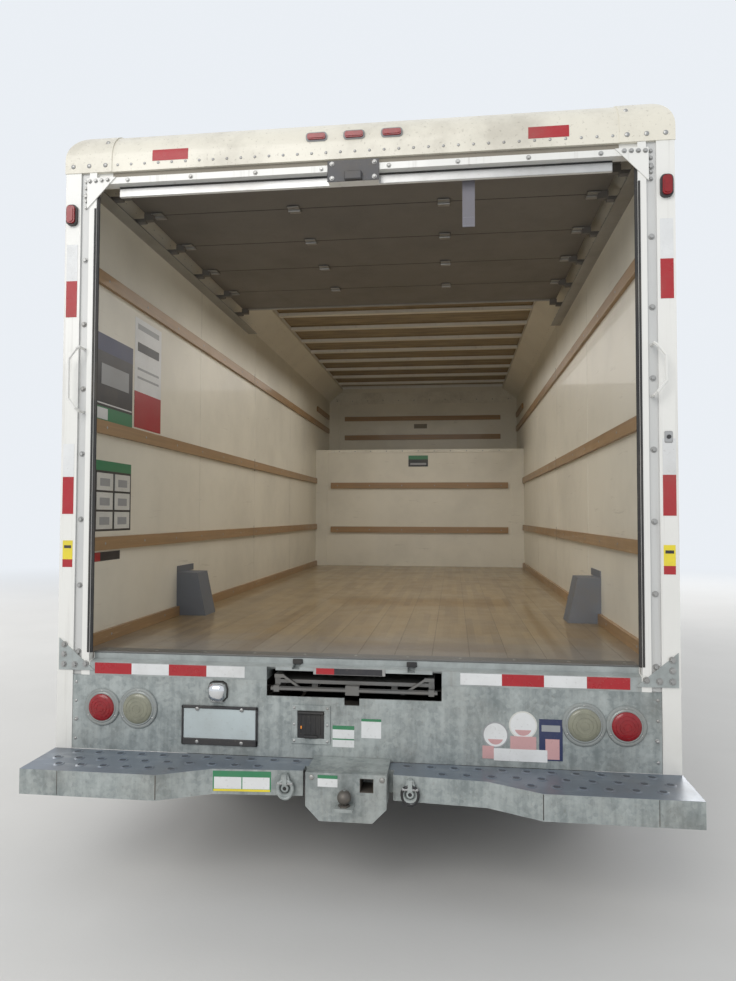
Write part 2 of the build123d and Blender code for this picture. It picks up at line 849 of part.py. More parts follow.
def rim_dish(x, y, dish, bore, hub_reach):
    """One wheel rim with its disc, hand holes and hub; dish is where the disc stands along the axle."""
    seat = rim_width / 2
    inner = rim_radius - rim_wall
    section = [(-seat, rim_radius), (-seat, inner), (dish - 6, inner - 14), (dish - 6, 0)]
    section += [(dish + 6, 0), (dish + 6, inner - 14), (seat, inner), (seat, rim_radius)]
    wheel = flat_ring(wheel_plane(x, y), section, wheel_sides).clean()
    for step in range(hand_holes):
        turn = 2 * pi * (step + 0.5) / hand_holes
        hole_y, hole_z = y + 140 * cos(turn), tyre_radius + 140 * sin(turn)
        wheel -= flat_rod((x + dish - 9, hole_y, hole_z), (x + dish + 9, hole_y, hole_z), 23)
    low, high = hub_reach
    wheel += flat_rod((x + low, y, tyre_radius), (x + high, y, tyre_radius), hub_radius, 16)
    if bore:
        wheel -= rod((x + low - 1, y, tyre_radius), (x + bore, y, tyre_radius), spindle_radius + bearing_gap)
    return wheel


def make_wheels():
    """Front single wheels and rear twin wheels."""
    front = rim_dish(front_wheel_x, front_axle_y, 46, 63, (-40, 96))
    front_tyre = tyre_ring(front_wheel_x, front_axle_y)
    save("rim_front_right", front)
    save("rim_front_left", mirrored(front))
    save("tyre_front_right", front_tyre)
    save("tyre_front_left", mirrored(front_tyre))
    outer_x = rear_outer_x
    inner_x = rear_outer_x - dual_spacing
    outer = rim_dish(outer_x, rear_axle_y, -60, 0, (-80, 40))
    inner = rim_dish(inner_x, rear_axle_y, 60, 0, (30, 100))
    link = flat_rod((inner_x + 60, rear_axle_y, tyre_radius), (outer_x - 60, rear_axle_y, tyre_radius), hub_radius + 60, 16)
    pair = fuse(outer, inner, link)
    start = inner_x + 25
    pair -= rod((start, rear_axle_y, tyre_radius), (axle_end + 1, rear_axle_y, tyre_radius), spindle_radius + bearing_gap)
    save("rims_rear_right", pair)
    save("rims_rear_left", mirrored(pair))
    tyres = [tyre_ring(x, rear_axle_y) for x in (inner_x, outer_x)]
    save("tyres_rear_right", *tyres)
    save("tyres_rear_left", *[mirrored(tyre) for tyre in tyres])


def spring_arc(middle_y, half, low, rise):
    """One leaf: a strip bent upward to its ends."""
    ends = [(spring_x - 38, middle_y - half, low + rise), (spring_x - 38, middle_y + half, low + rise)]
    under = ThreePointArc(ends[0], (spring_x - 38, middle_y, low), ends[1])
    over = ThreePointArc(
        (spring_x - 38, middle_y + half, low + rise + spring_leaf),
        (spring_x - 38, middle_y, low + spring_leaf),
        (spring_x - 38, middle_y - half, low + rise + spring_leaf),
    )
    sides = [Line(under @ 1, over @ 0), Line(over @ 1, under @ 0)]
    return extrude(make_face([under, sides[0], over, sides[1]]), amount=76, dir=(1, 0, 0))


def make_rear_axle():
    """Rear axle with its differential, leaf springs, hangers and drive shaft."""
    y, z = rear_axle_y, tyre_radius
    tube = flat_rod((-680, y, z), (680, y, z), 52, 12)
    spindle = rod((-axle_end, y, z), (axle_end, y, z), spindle_radius)
    section = [(-110, 0), (-96, 70), (-52, 132), (20, 148), (90, 110), (150, 70), (250, 70), (250, 0)]
    pot = flat_ring(Plane(origin=(0, y, z), x_dir=(0, 0, -1), z_dir=(0, 1, 0)), section, 16)
    springs = []
    perch_top = z + 62
    for leaf, share in enumerate((1.0, 0.8, 0.6, 0.4)):
        half = spring_half_length * share
        low = perch_top + (3 - leaf) * spring_leaf
        rise = spring_camber * share * share
        springs.append(spring_arc(y, half, low, rise))
    stack = block(spring_x - 44, spring_x + 44, y - 60, y + 60, z, perch_top + 4 * spring_leaf + 10)
    for end in (-1, 1):
        eye_y = y + end * spring_half_length
        eye_z = perch_top + 3 * spring_leaf + spring_camber
        hanger = block(rail_half, spring_x + 30, eye_y - 30, eye_y + 30, eye_z - 20, rail_high - 40)
        springs.append(hanger)
    side = fuse(stack, *springs)
    shaft = flat_rod((0, y + 240, z), (0, gearbox_rear - 6, gearbox_z), 48, 12)
    flange = flat_rod((0, gearbox_rear - 12, gearbox_z), (0, gearbox_rear, gearbox_z), 60, 12)
    save("rear_axle", fuse(tube, spindle, pot, side, mirrored(side), shaft, flange))


def make_engine():
    """Engine and gearbox as one plain block."""
    engine = block(-engine_half, engine_half, engine_rear, engine_front, engine_low, engine_top)
    gearbox = block(-gearbox_half, gearbox_half, gearbox_rear, engine_rear + 1, gearbox_low, gearbox_top)
    save("engine", engine + gearbox)


def make_fuel_tank():
    """Fuel tank between the rails, behind the rear axle."""
    tank = block(-330, 330, 330, 1010, 400, rail_low + 20)
    tank = fillet(tank.edges().filter_by(Axis.X), 40)
    for y in (430, 860):
        tank += block(-rail_half + rail_web, rail_half - rail_web, y, y + 50, rail_low + rail_web, rail_low + 20)
    save("fuel_tank", tank)


def make_exhaust():
    """Exhaust pipe and silencer along the right rail."""
    pipe = bent_bar([(290, 6300, 470), (290, 5900, 420), (330, 5200, 420), (330, 3600, 420)], 32)
    silencer = flat_rod((330, 3600, 420), (330, 2900, 420), 110, 16)
    tail = flat_rod((330, 2900, 420), (330, 2500, 420), 30)
    hanger = block(322, 338, 3615, 3655, 440, rail_low + 52)
    save("exhaust", fuse(pipe, silencer, tail, hanger))


def make_underframe():
    """Box sills along the frame rails, outriggers and floor strips, and the ramp's runners."""
    top = deck_top - deck_thick
    sill_x = rail_half - 55
    solids = both(block(sill_x, rail_half, sill_deep, inner_front, rail_high, top))
    count = int((inner_front - sill_deep - 100) // outrigger_pitch)
    for step in range(count + 1):
        y = outrigger_first + step * outrigger_pitch
        solids += both(block(rail_half, outer_half - skirt_thick, y, y + 45, top - 76, top))
        solids.append(block(-sill_x, sill_x, y, y + 45, top - 14, top))
    solids += both(block(ramp_half - 24, sill_x, sill_deep, runner_end, ramp_low - clear - 6, ramp_low - clear))
    save("underframe", *solids)


def make_ramp():
    """Loading ramp in its slot: ribbed deck, side rails and the pull bar."""
    rear = ramp_rear
    deck = block(-ramp_half, ramp_half, rear, rear + ramp_length, ramp_low + 30, ramp_low + 44)
    rail = block(ramp_half - 22, ramp_half, rear, rear + ramp_length, ramp_low, ramp_high)
    ribs = [block(x - 12, x + 12, rear + 20, rear + ramp_length, ramp_low + 8, ramp_low + 32) for x in (-160, 0, 160)]
    bar = flat_rod((-ramp_half - 12, rear - 18, ramp_low + 12), (ramp_half + 12, rear - 18, ramp_low + 12), 9)
    ends = block(ramp_half - 22, ramp_half, rear - 26, rear + 2, ramp_low, ramp_low + 24)
    stay = along_y([(300, ramp_high), (284, ramp_high), (186, ramp_low), (202, ramp_low)], rear - 12, rear - 4)
    stay += block(280, ramp_half, rear - 12, rear + 2, ramp_high - 14, ramp_high)
    tab = block(-30, 24, rear - 26, rear + 2, ramp_low - 6, ramp_low + 30)
    save("ramp", fuse(deck, rail, mirrored(rail), *ribs, bar, ends, mirrored(ends), stay, mirrored(stay), tab))


def make_mud_flaps():
    """Rubber flaps behind the twin wheels."""
    middle = rear_outer_x - dual_spacing / 2
    flap_y = outrigger_first + 2 * outrigger_pitch + 4
    flap = block(middle - 270, middle + 160, flap_y, flap_y + 9, 230, deck_top - deck_thick - 76)
    save("mud_flaps", *both(flap))


# Stowed door


def make_rollup_door():
    """Roll-up door stowed under the roof: panels, hinges and end rollers."""
    low = door_top_z - door_panel_thick
    shape = None
    for step in range(door_panels):
        y = door_first_y + header_deep + step * door_panel_length
        panel = block(-door_half, door_half, y, y + door_panel_length - 4, low, door_top_z)
        shape = panel if shape is None else shape + panel
        if step:
            for x in (-door_half + 57, -350, 350, door_half - 57):
                shape += block(x - 30, x + 30, y - 34, y + 30, low - 5, low)
    roller_z = rail_foot - track_depth + track_wall + clear + roller_radius
    for step in range(door_panels + 1):
        y = max(door_first_y + header_deep + step * door_panel_length - 20, first_roller_y)
        bracket = block(door_half - 40, door_half + 4, y - 14, y + 14, roller_z, low)
        roller = flat_rod((door_half - 2, y, roller_z), (door_half + 64, y, roller_z), roller_radius)
        shape = fuse(shape, bracket, roller, mirrored(bracket), mirrored(roller))
    save("rollup_door", shape)


def make_pull_strap():
    """Webbing strap that hangs from the stowed door's rear edge."""
    low = door_top_z - door_panel_thick
    strap = block(strap_x - strap_width / 2, strap_x + strap_width / 2, 70, 70 + strap_thick, strap_low, low - clear)
    save("pull_strap", strap)


def make_door_tracks():
    """Roller tracks along the tops of the walls."""
    low = rail_foot - track_depth
    track = block(door_half + 30, inner_half, jamb_depth, track_end, low, low + track_wall)
    track += block(inner_half - track_wall, inner_half, jamb_depth, track_end, low, rail_foot)
    save("door_tracks", *both(track))


# Cab


def cab_outer():
    """Outer body of the cab, from its side, front and plan outlines."""
    # along, up, corner radius
    side = (
        (cab_back, cab_low, 10),
        (nose_y - 60, cab_low, 40),
        (nose_y, nose_low, 60),
        (nose_y, hood_lead_z - 90, 80),
        (nose_y - 70, hood_lead_z, 60),
        (cowl_y, cowl_z, 60),
        (header_y, header_z, 90),
        (header_y - 260, cab_top, 400),
        (cab_back, cab_top, 30),
    )
    # across, up, corner radius
    right = (
        (cab_half, belt_z, 260),
        (roof_half + 40, cab_top - 60, 70),
        (roof_half - 60, cab_top + 1, 60),
    )
    # across, along, corner radius
    front = (
        (cab_half, nose_y - 380, 300),
        (cab_half - 60, nose_y - 120, 120),
        (cab_half - 200, nose_y, 120),
    )
    across = [(cab_half, cab_low, 30), *right]
    across += [(-x, z, radius) for x, z, radius in reversed(across)]
    plan = [(cab_half, cab_back, 12), *front]
    plan += [(-x, y, radius) for x, y, radius in reversed(plan)]
    body = extrude(rounded(side, lambda y, z: (-cab_half - 1, y, z)), amount=2 * cab_half + 2, dir=(1, 0, 0))
    body &= extrude(rounded(across, lambda x, z: (x, cab_back, z)), amount=nose_y + 1 - cab_back, dir=(0, 1, 0))
    body &= extrude(rounded(plan, lambda x, y: (x, y, cab_low - 1)), amount=cab_top + 3 - cab_low, dir=(0, 0, 1))
    return body


def door_outline(grow=0.0):
    """Side outline of a door opening."""
    return [
        (door_rear_y - grow, door_low - grow),
        (door_front_y + grow, door_low - grow),
        (door_front_y + grow, belt_z + 20),
        (header_y - 190 + grow, door_high + grow),
        (door_rear_y - grow, door_high + grow),
    ]


def window_outline(inset=0.0):
    """Side outline of a door window."""
    return [
        (door_rear_y + 90 + inset, belt_z + 30 + inset),
        (door_front_y - 70 - inset, belt_z + 30 + inset),
        (header_y - 250 - inset, door_high - 70 - inset),
        (door_rear_y + 90 + inset, door_high - 70 - inset),
    ]


def cab_inner():
    """Space inside the cab, from the back wall to the firewall."""
    side = [
        (cab_back + cab_wall, cab_floor_top),
        (firewall_y, cab_floor_top),
        (firewall_y, cowl_z - 60),
        (header_y - 40, header_z - 46),
        (header_y - 280, cab_top - cab_roof_wall),
        (cab_back + cab_wall, cab_top - cab_roof_wall),
    ]
    across = [
        (-cab_half + cab_wall, cab_floor_top),
        (cab_half - cab_wall, cab_floor_top),
        (cab_half - cab_wall, belt_z),
        (roof_half - 20, cab_top - 90),
        (roof_half - 100, cab_top),
        (-roof_half + 100, cab_top),
        (-roof_half + 20, cab_top - 90),
        (-cab_half + cab_wall, belt_z),
    ]
    return along_x(side, -cab_half, cab_half) & along_y(across, cab_back, nose_y)


def windshield_slab(out_by, in_by, inset):
    """Slab along the windshield's plane between the pillars, from in_by under it to out_by over it."""
    slope = Vector(0, header_y - cowl_y, header_z - cowl_z)
    length = slope.length
    up = slope.normalized()
    out = Vector(0, up.Z, -up.Y)
    low, high = 60 + inset, length - 60 - inset
    half_low, half_high = cab_half - 120 - inset, roof_half - 40 - inset
    base = Vector(0, cowl_y, cowl_z) - out * in_by
    plane = Plane(origin=base, x_dir=(-1, 0, 0), z_dir=out)
    face = plane * make_face(
        Polyline([(-half_low, low), (half_low, low), (half_high, high), (-half_high, high)], close=True)
    )
    return extrude(face, amount=in_by + out_by, dir=out)


def door_hinge(z, front, grow=0.0):
    """One hinge barrel on the door axis, with its leaf towards the front or the rear."""
    x, y = cab_half, door_front_y - 14
    barrel = flat_rod((x, y, z - 24 - grow), (x, y, z + 24 + grow), knuckle_radius + grow, 8)
    if front:
        barrel += block(x - 8, x, y, door_front_y + 40, z - 24, z + 24)
    else:
        barrel += block(x - 8, x, y - 40, y, z - 24, z + 24)
    return barrel


def door_slab(grow):
    """Space of a door: through the side wall, deeper above the belt where the side leans in."""
    outline = door_outline(grow)
    inset = door_swing_gap if grow < 0 else 0
    low = along_x(outline, cab_half - cab_wall + inset, cab_half + 2)
    high = along_x(outline, cab_half - 190, cab_half + 2)
    high &= block(0, cab_half + 2, cab_back, nose_y, belt_z, cab_top)
    slab = low + high
    return slab - arch_cut(cab_half - 200, cab_half + 3, front_axle_y, arch_radius + 34 - grow)


def hood_z(y):
    """Height of the hood's surface at a station."""
    return cowl_z + (hood_lead_z - cowl_z) * (y - cowl_y) / (nose_y - 70 - cowl_y)


def hood_hinge(x, rearward):
    """One hinge barrel on the hood axis, with its leaf towards the cowl or the hood."""
    y = hood_rear_y + 14
    z = hood_z(y)
    barrel = flat_rod((x - 14, y, z - knuckle_radius), (x + 14, y, z - knuckle_radius), knuckle_radius, 8)
    leaf_end = y - 40 if rearward else y + 40
    low, high = min(y, leaf_end), max(y, leaf_end)
    return barrel + block(x - 14, x + 14, low, high, z - 2 * knuckle_radius, z - knuckle_radius - 2)


def make_cab():
    """Hollow cab body with door openings, wheel arches, engine bay and firewall."""
    outer = cab_outer()
    floor_low = cab_floor_top - cab_floor_thick
    bay_half = hood_half - 60
    bay = along_x(
        [
            (firewall_y + 30, cab_low - 1),
            (nose_y - 70, cab_low - 1),
            (nose_y - 70, hood_lead_z - 110),
            (hood_rear_y, hood_lead_z + 40),
            (firewall_y + 30, hood_lead_z + 40),
        ],
        -bay_half,
        bay_half,
    )
    body = outer - cab_inner() - bay
    body -= block(-cab_half + 40, cab_half - 40, cab_back - 1, nose_y - 70, cab_low - 1, floor_low)
    body -= block(-450, 450, nose_y - 200, nose_y + 1, cab_low - 1, 660)
    half, rear, top = engine_half + tunnel_gap, engine_rear - 100, engine_top + tunnel_gap
    wall = tunnel_wall
    body += block(-half - wall, half + wall, rear - wall, firewall_y + 30, floor_low, top + wall)
    body -= block(-half, half, rear, firewall_y + 31, floor_low - 1, top)
    inner_x = kingpin_x - 270
    liner = arch_cut(inner_x - 12, cab_half - 12, front_axle_y, arch_radius + 12) & outer
    well = arch_cut(inner_x, cab_half + 2, front_axle_y, arch_radius)
    well += block(inner_x - 20, inner_x + 5, front_axle_y - 200, front_axle_y + 200, cab_low - 1, 580)
    body = fuse(body, liner, mirrored(liner)) - well - mirrored(well)
    flare = arch_cut(cab_half - 40, cab_half + flare_proud, front_axle_y, arch_radius + flare_wide)
    flare -= arch_cut(cab_half - 41, cab_half + flare_proud + 1, front_axle_y, arch_radius)
    flare &= block(0, cab_half + 20, cab_back, nose_y, cab_low, cab_top)
    flare_plan = [
        (cab_half - 60, cab_back),
        (cab_half + 20, cab_back),
        (cab_half + 20, nose_y - 380),
        (cab_half - 40, nose_y - 180),
        (cab_half - 60, nose_y - 180),
    ]
    flare &= along_z(flare_plan, cab_low, cab_top)
    body = fuse(body, flare, mirrored(flare))
    door_hole = door_slab(0)
    body = body - door_hole - mirrored(door_hole)
    body -= windshield_slab(80, 120, 0)
    body -= block(-hood_half, hood_half, hood_rear_y, hood_front_y, 900, 1500)
    body -= block(-grille_half, grille_half, nose_y - 71, nose_y + 1, grille_low, grille_high)
    lamp = block(lamp_inner, lamp_outer, nose_y - 90, nose_y + 1, lamp_low, lamp_high)
    body = body - lamp - mirrored(lamp)
    for z in hinge_heights:
        lug = door_hinge(z, True)
        body = fuse(body, lug, mirrored(lug))
    for x in (-hood_hinge_x, hood_hinge_x):
        body += hood_hinge(x, True)
    stop_y = hood_front_y - 40
    stop_z = hood_z(stop_y + 6 + 8) - hood_thick - clear
    for x in (-540, 540):
        body += flat_rod((x, stop_y, hood_lead_z - 110), (x, stop_y, stop_z), 8)
    body += block(-hood_half - 1, hood_half + 1, hood_front_y - 60, hood_front_y + 1, hood_lead_z - 130, hood_lead_z - 105)
    save("cab_shell", body)


def make_doors():
    """Cab doors as thick as the wall, with their hinge barrels, mirrors and panes."""
    outer = cab_outer()
    door = (outer & door_slab(-door_gap)) - cab_inner()
    door -= block(0, cab_half - cab_wall, cab_back, door_rear_y + door_rear_bevel, belt_z, cab_top)
    hole = along_x(window_outline(), cab_half - 300, cab_half + 2)
    door -= hole
    axis_y = door_front_y - 14
    for z in hinge_heights:
        door -= flat_rod((cab_half, axis_y, z - 25), (cab_half, axis_y, z + 25), 17, 8)
        for step in (-1, 1):
            door += door_hinge(z + step * (48 + clear), False)
    pane = outer & along_x(window_outline(clear), cab_half - 300, cab_half + 2)
    pane = (Pos(-18, 0, 0) * pane) & hole
    pane -= Pos(-18 - glass_thick, 0, 0) * outer
    mirror_y = axis_y - 28
    housing = block(1090, 1225, mirror_y - 22, mirror_y + 22, 1300, 1640)
    housing = fillet(housing.edges().filter_by(Axis.Y), 24)
    arms = flat_rod((cab_half - 12, mirror_y - 10, 1200), (1150, mirror_y, 1310), 10)
    arms += flat_rod((cab_half - 12, mirror_y - 10, 1110), (1190, mirror_y, 1310), 8)
    handle = block(cab_half - 4, cab_half + 26, door_rear_y + 70, door_rear_y + 215, belt_z - 100, belt_z - 72)
    handle -= block(cab_half - 1, cab_half + 14, door_rear_y + 88, door_rear_y + 197, belt_z - 101, belt_z - 71)
    door = fuse(door, housing, arms, handle)
    save("door_right", door)
    save("door_left", mirrored(door))
    save("door_glass_right", pane)
    save("door_glass_left", mirrored(pane))


def make_hood():
    """Hood panel with its hinge barrels."""
    outer = cab_outer()
    gap = door_gap
    space = block(-hood_half + gap, hood_half - gap, hood_rear_y + 2 * gap, hood_front_y - gap, 900, 1500)
    hood = (outer & space) - Pos(0, -6, -hood_thick) * outer
    for x in (-500, 500):
        y = hood_rear_y + 14
        z = hood_z(y) - knuckle_radius
        hood -= flat_rod((x - 15, y, z), (x + 15, y, z), 25, 8)
        for step in (-1, 1):
            hood += hood_hinge(x + step * (28 + clear), False)
    save("hood", hood)


def make_windshield():
    """Windshield pane between the pillars."""
    save("windshield", windshield_slab(-6, 12, clear))


def make_grille():
    """Grille: a frame with cross bars, set in the nose."""
    low, high, half = grille_low + clear, grille_high - clear, grille_half - clear
    y_low, y_high = nose_y - 40, nose_y - 4
    shape = block(-half, half, y_low, y_high, low, high)
    shape -= block(-half + 22, half - 22, y_low - 1, y_high + 1, low + 22, high - 22)
    for step in range(1, grille_bars + 1):
        z = low + (high - low) * step / (grille_bars + 1)
        shape += block(-half + 20, half - 20, y_low + 8, y_high - 6, z - 7, z + 7)
    shape += block(-9, 9, y_low + 6, y_high - 12, low + 20, high - 20)
    save("grille", shape)


def make_headlamps():
    """Headlamps that follow the nose."""
    lamp = block(lamp_inner + clear, lamp_outer - clear, nose_y - 80, nose_y + 1, lamp_low + clear, lamp_high - clear)
    save("headlamps", *both(lamp & cab_outer()))


def make_front_bumper():
    """Front bumper: a wrapped channel with brackets to the frame."""
    outer = [(cab_half - 10, frame_front), (cab_half - 32, nose_y - 105), (cab_half - 172, nose_y + 30), (450, front_reach)]
    wall = front_bumper_thick
    inner = [(x - wall / 2, y - wall if y > nose_y else y) for x, y in outer]
    plan = outer + [(-x, y) for x, y in reversed(outer)] + [(-x, y) for x, y in inner] + list(reversed(inner))
    face = along_z(plan, front_bumper_low, front_bumper_high)
    bracket = block(360, 425, frame_front, front_reach - wall + 1, front_bumper_high - 65, front_bumper_high - 5)
    save("front_bumper", fuse(face, bracket, mirrored(bracket)))


wheel_centre = Vector(wheel_x, 6330, 1290)


def make_dashboard():
    """Dashboard across the cab, with the bore of the steering column."""
    section = [
        (6500, 1090),
        (firewall_y - clear, 1062),
        (firewall_y - clear, 1210),
        (6760, 1240),
        (6560, 1240),
        (6500, 1190),
    ]
    half = cab_half - cab_wall - 6
    dash = along_x(section, -half, half)
    axis = Vector(0, -cos(radians(column_lean)), sin(radians(column_lean)))
    dash -= rod(tuple(wheel_centre - axis * 420), tuple(wheel_centre), 22 + bearing_gap)
    save("dashboard", dash)


def make_steering_wheel():
    """Steering wheel with its spokes, hub and column."""
    axis = Vector(0, -cos(radians(column_lean)), sin(radians(column_lean)))
    plane = Plane(origin=wheel_centre, x_dir=(1, 0, 0), z_dir=axis)
    turns = [radians(60 * step) for step in range(6)]
    section = [(13 * sin(turn), 186 + 13 * cos(turn)) for turn in turns]
    ring = flat_ring(plane, section, ring_sides)
    hub = flat_rod(tuple(wheel_centre - axis * 22), tuple(wheel_centre + axis * 22), 52, 16)
    spokes = None
    for turn in (0, 180, 270):
        spoke = plane * Rot(0, 0, turn) * Pos(110, 0, 0) * Box(140, 34, 12)
        spokes = spoke if spokes is None else spokes + spoke
    column = rod(tuple(wheel_centre - axis * 330), tuple(wheel_centre), 22)
    save("steering_wheel", fuse(ring, spokes, hub, column))


def make_seats():
    """Two seats on their pedestals."""
    x = 560.0
    cushion = block(x - 250, x + 250, 5600, 6090, 1030, 1160)
    cushion = fillet(cushion.edges().filter_by(Axis.X), 40)
    back = along_x([(5560, 1070), (5690, 1070), (5600, 1740), (5490, 1740)], x - 245, x + 245)
    base = block(x - 190, x + 190, 5640, 6030, cab_floor_top, 1031)
    seat = fuse(cushion, back, base)
    save("seats", *both(seat))


make_deck()
make_side_walls()
make_front_wall()
make_attic_nose()
make_roof()
make_slats()
make_arch_boxes()
make_rear_frame()
make_roof_header()
make_corner_caps()
make_rear_panel()
make_rear_lamps()
make_step_bumper()
make_hitch()
make_frame()
make_knuckles()
make_wheels()
make_rear_axle()
make_engine()
make_fuel_tank()
make_exhaust()
make_underframe()
make_ramp()
make_mud_flaps()
make_rollup_door()
make_pull_strap()
make_door_tracks()
make_cab()
make_doors()
make_hood()
make_windshield()
make_grille()
make_headlamps()
make_front_bumper()
make_dashboard()
make_steering_wheel()
make_seats()
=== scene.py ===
"""Looks of a box truck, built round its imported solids: finishes, fasteners, lamps, tape, lining, wheels and cab trim.

Places are in metres: x to the right, y forward from the rear face of the box, z up from the ground. Piece.made() moves
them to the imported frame, whose origin is under the middle of the truck.
"""

import logging
import math
from collections.abc import Callable, Iterable, Sequence
from dataclasses import dataclass
from enum import Enum

import bmesh
import bpy
from mathutils import Matrix, Vector


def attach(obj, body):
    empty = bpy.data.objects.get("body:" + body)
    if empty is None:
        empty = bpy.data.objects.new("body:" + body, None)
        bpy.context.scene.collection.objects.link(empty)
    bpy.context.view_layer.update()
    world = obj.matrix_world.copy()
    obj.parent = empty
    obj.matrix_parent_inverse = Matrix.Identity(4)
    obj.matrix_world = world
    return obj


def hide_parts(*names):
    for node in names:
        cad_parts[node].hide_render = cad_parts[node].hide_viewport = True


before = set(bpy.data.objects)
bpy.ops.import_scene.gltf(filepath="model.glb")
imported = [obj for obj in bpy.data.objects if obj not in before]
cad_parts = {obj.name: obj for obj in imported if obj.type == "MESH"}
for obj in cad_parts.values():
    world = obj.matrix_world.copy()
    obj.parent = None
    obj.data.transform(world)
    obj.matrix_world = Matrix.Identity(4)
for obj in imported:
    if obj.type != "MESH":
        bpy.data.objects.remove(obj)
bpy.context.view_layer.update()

log = logging.getLogger("truck")
REAR_FACE = -3.665

Colour = tuple[float, float, float]
Point = tuple[float, float, float]
Pair = tuple[float, float]
MADE: dict[str, bpy.types.Material] = {}
BOX_FACES = ((0, 1, 3, 2), (4, 6, 7, 5), (0, 4, 5, 1), (2, 3, 7, 6), (0, 2, 6, 4), (1, 5, 7, 3))


class Wire:
    """A shader socket that adds Math nodes when it is used in a sum."""

    def __init__(self, graph: "Graph", socket: bpy.types.NodeSocket) -> None:
        """Keeps the graph and the output socket."""
        self.graph = graph
        self.socket = socket

    def maths(self, operation: str, *values: "Wire | float") -> "Wire":
        """Adds one Math node.

        Args:
            operation: The node's operation.
            values: Its inputs in order, numbers or wires.

        Returns:
            The node's result.
        """
        return self.graph.node("ShaderNodeMath", {"operation": operation}, dict(enumerate(values)))

    def __add__(self, other: "Wire | float") -> "Wire":
        """Sum of two values."""
        return self.maths("ADD", self, other)

    def __sub__(self, other: "Wire | float") -> "Wire":
        """Difference of two values."""
        return self.maths("SUBTRACT", self, other)

    def __rsub__(self, other: float) -> "Wire":
        """A number less this value."""
        return self.maths("SUBTRACT", other, self)

    def __mul__(self, other: "Wire | float") -> "Wire":
        """Product of two values."""
        return self.maths("MULTIPLY", self, other)

    def __truediv__(self, other: "Wire | float") -> "Wire":
        """Quotient of two values."""
        return self.maths("DIVIDE", self, other)

    def alone(self, operation: str) -> "Wire":
        """This value after an operation that takes nothing else."""
        return self.maths(operation, self)

    def __abs__(self) -> "Wire":
        """Size of this value without its sign."""
        return self.alone("ABSOLUTE")

    def over(self, edge: float, soft: float = 0.001) -> "Wire":
        """Mask that rises from 0 to 1 across an edge of the given softness."""
        return self.graph.span(self, edge - soft, edge + soft)

    def under(self, edge: float, soft: float = 0.001) -> "Wire":
        """Mask that falls from 1 to 0 across an edge of the given softness."""
        return 1 - self.over(edge, soft)

    def most(self, other: "Wire | float") -> "Wire":
        """The larger of two values."""
        return self.maths("MAXIMUM", self, other)

    def wrap(self, length: float) -> "Wire":
        """What is left of this value in a pattern that repeats after a length."""
        return self.maths("WRAP", self, length, 0.0)

    def floored(self) -> "Wire":
        """This value rounded down."""
        return self.alone("FLOOR")


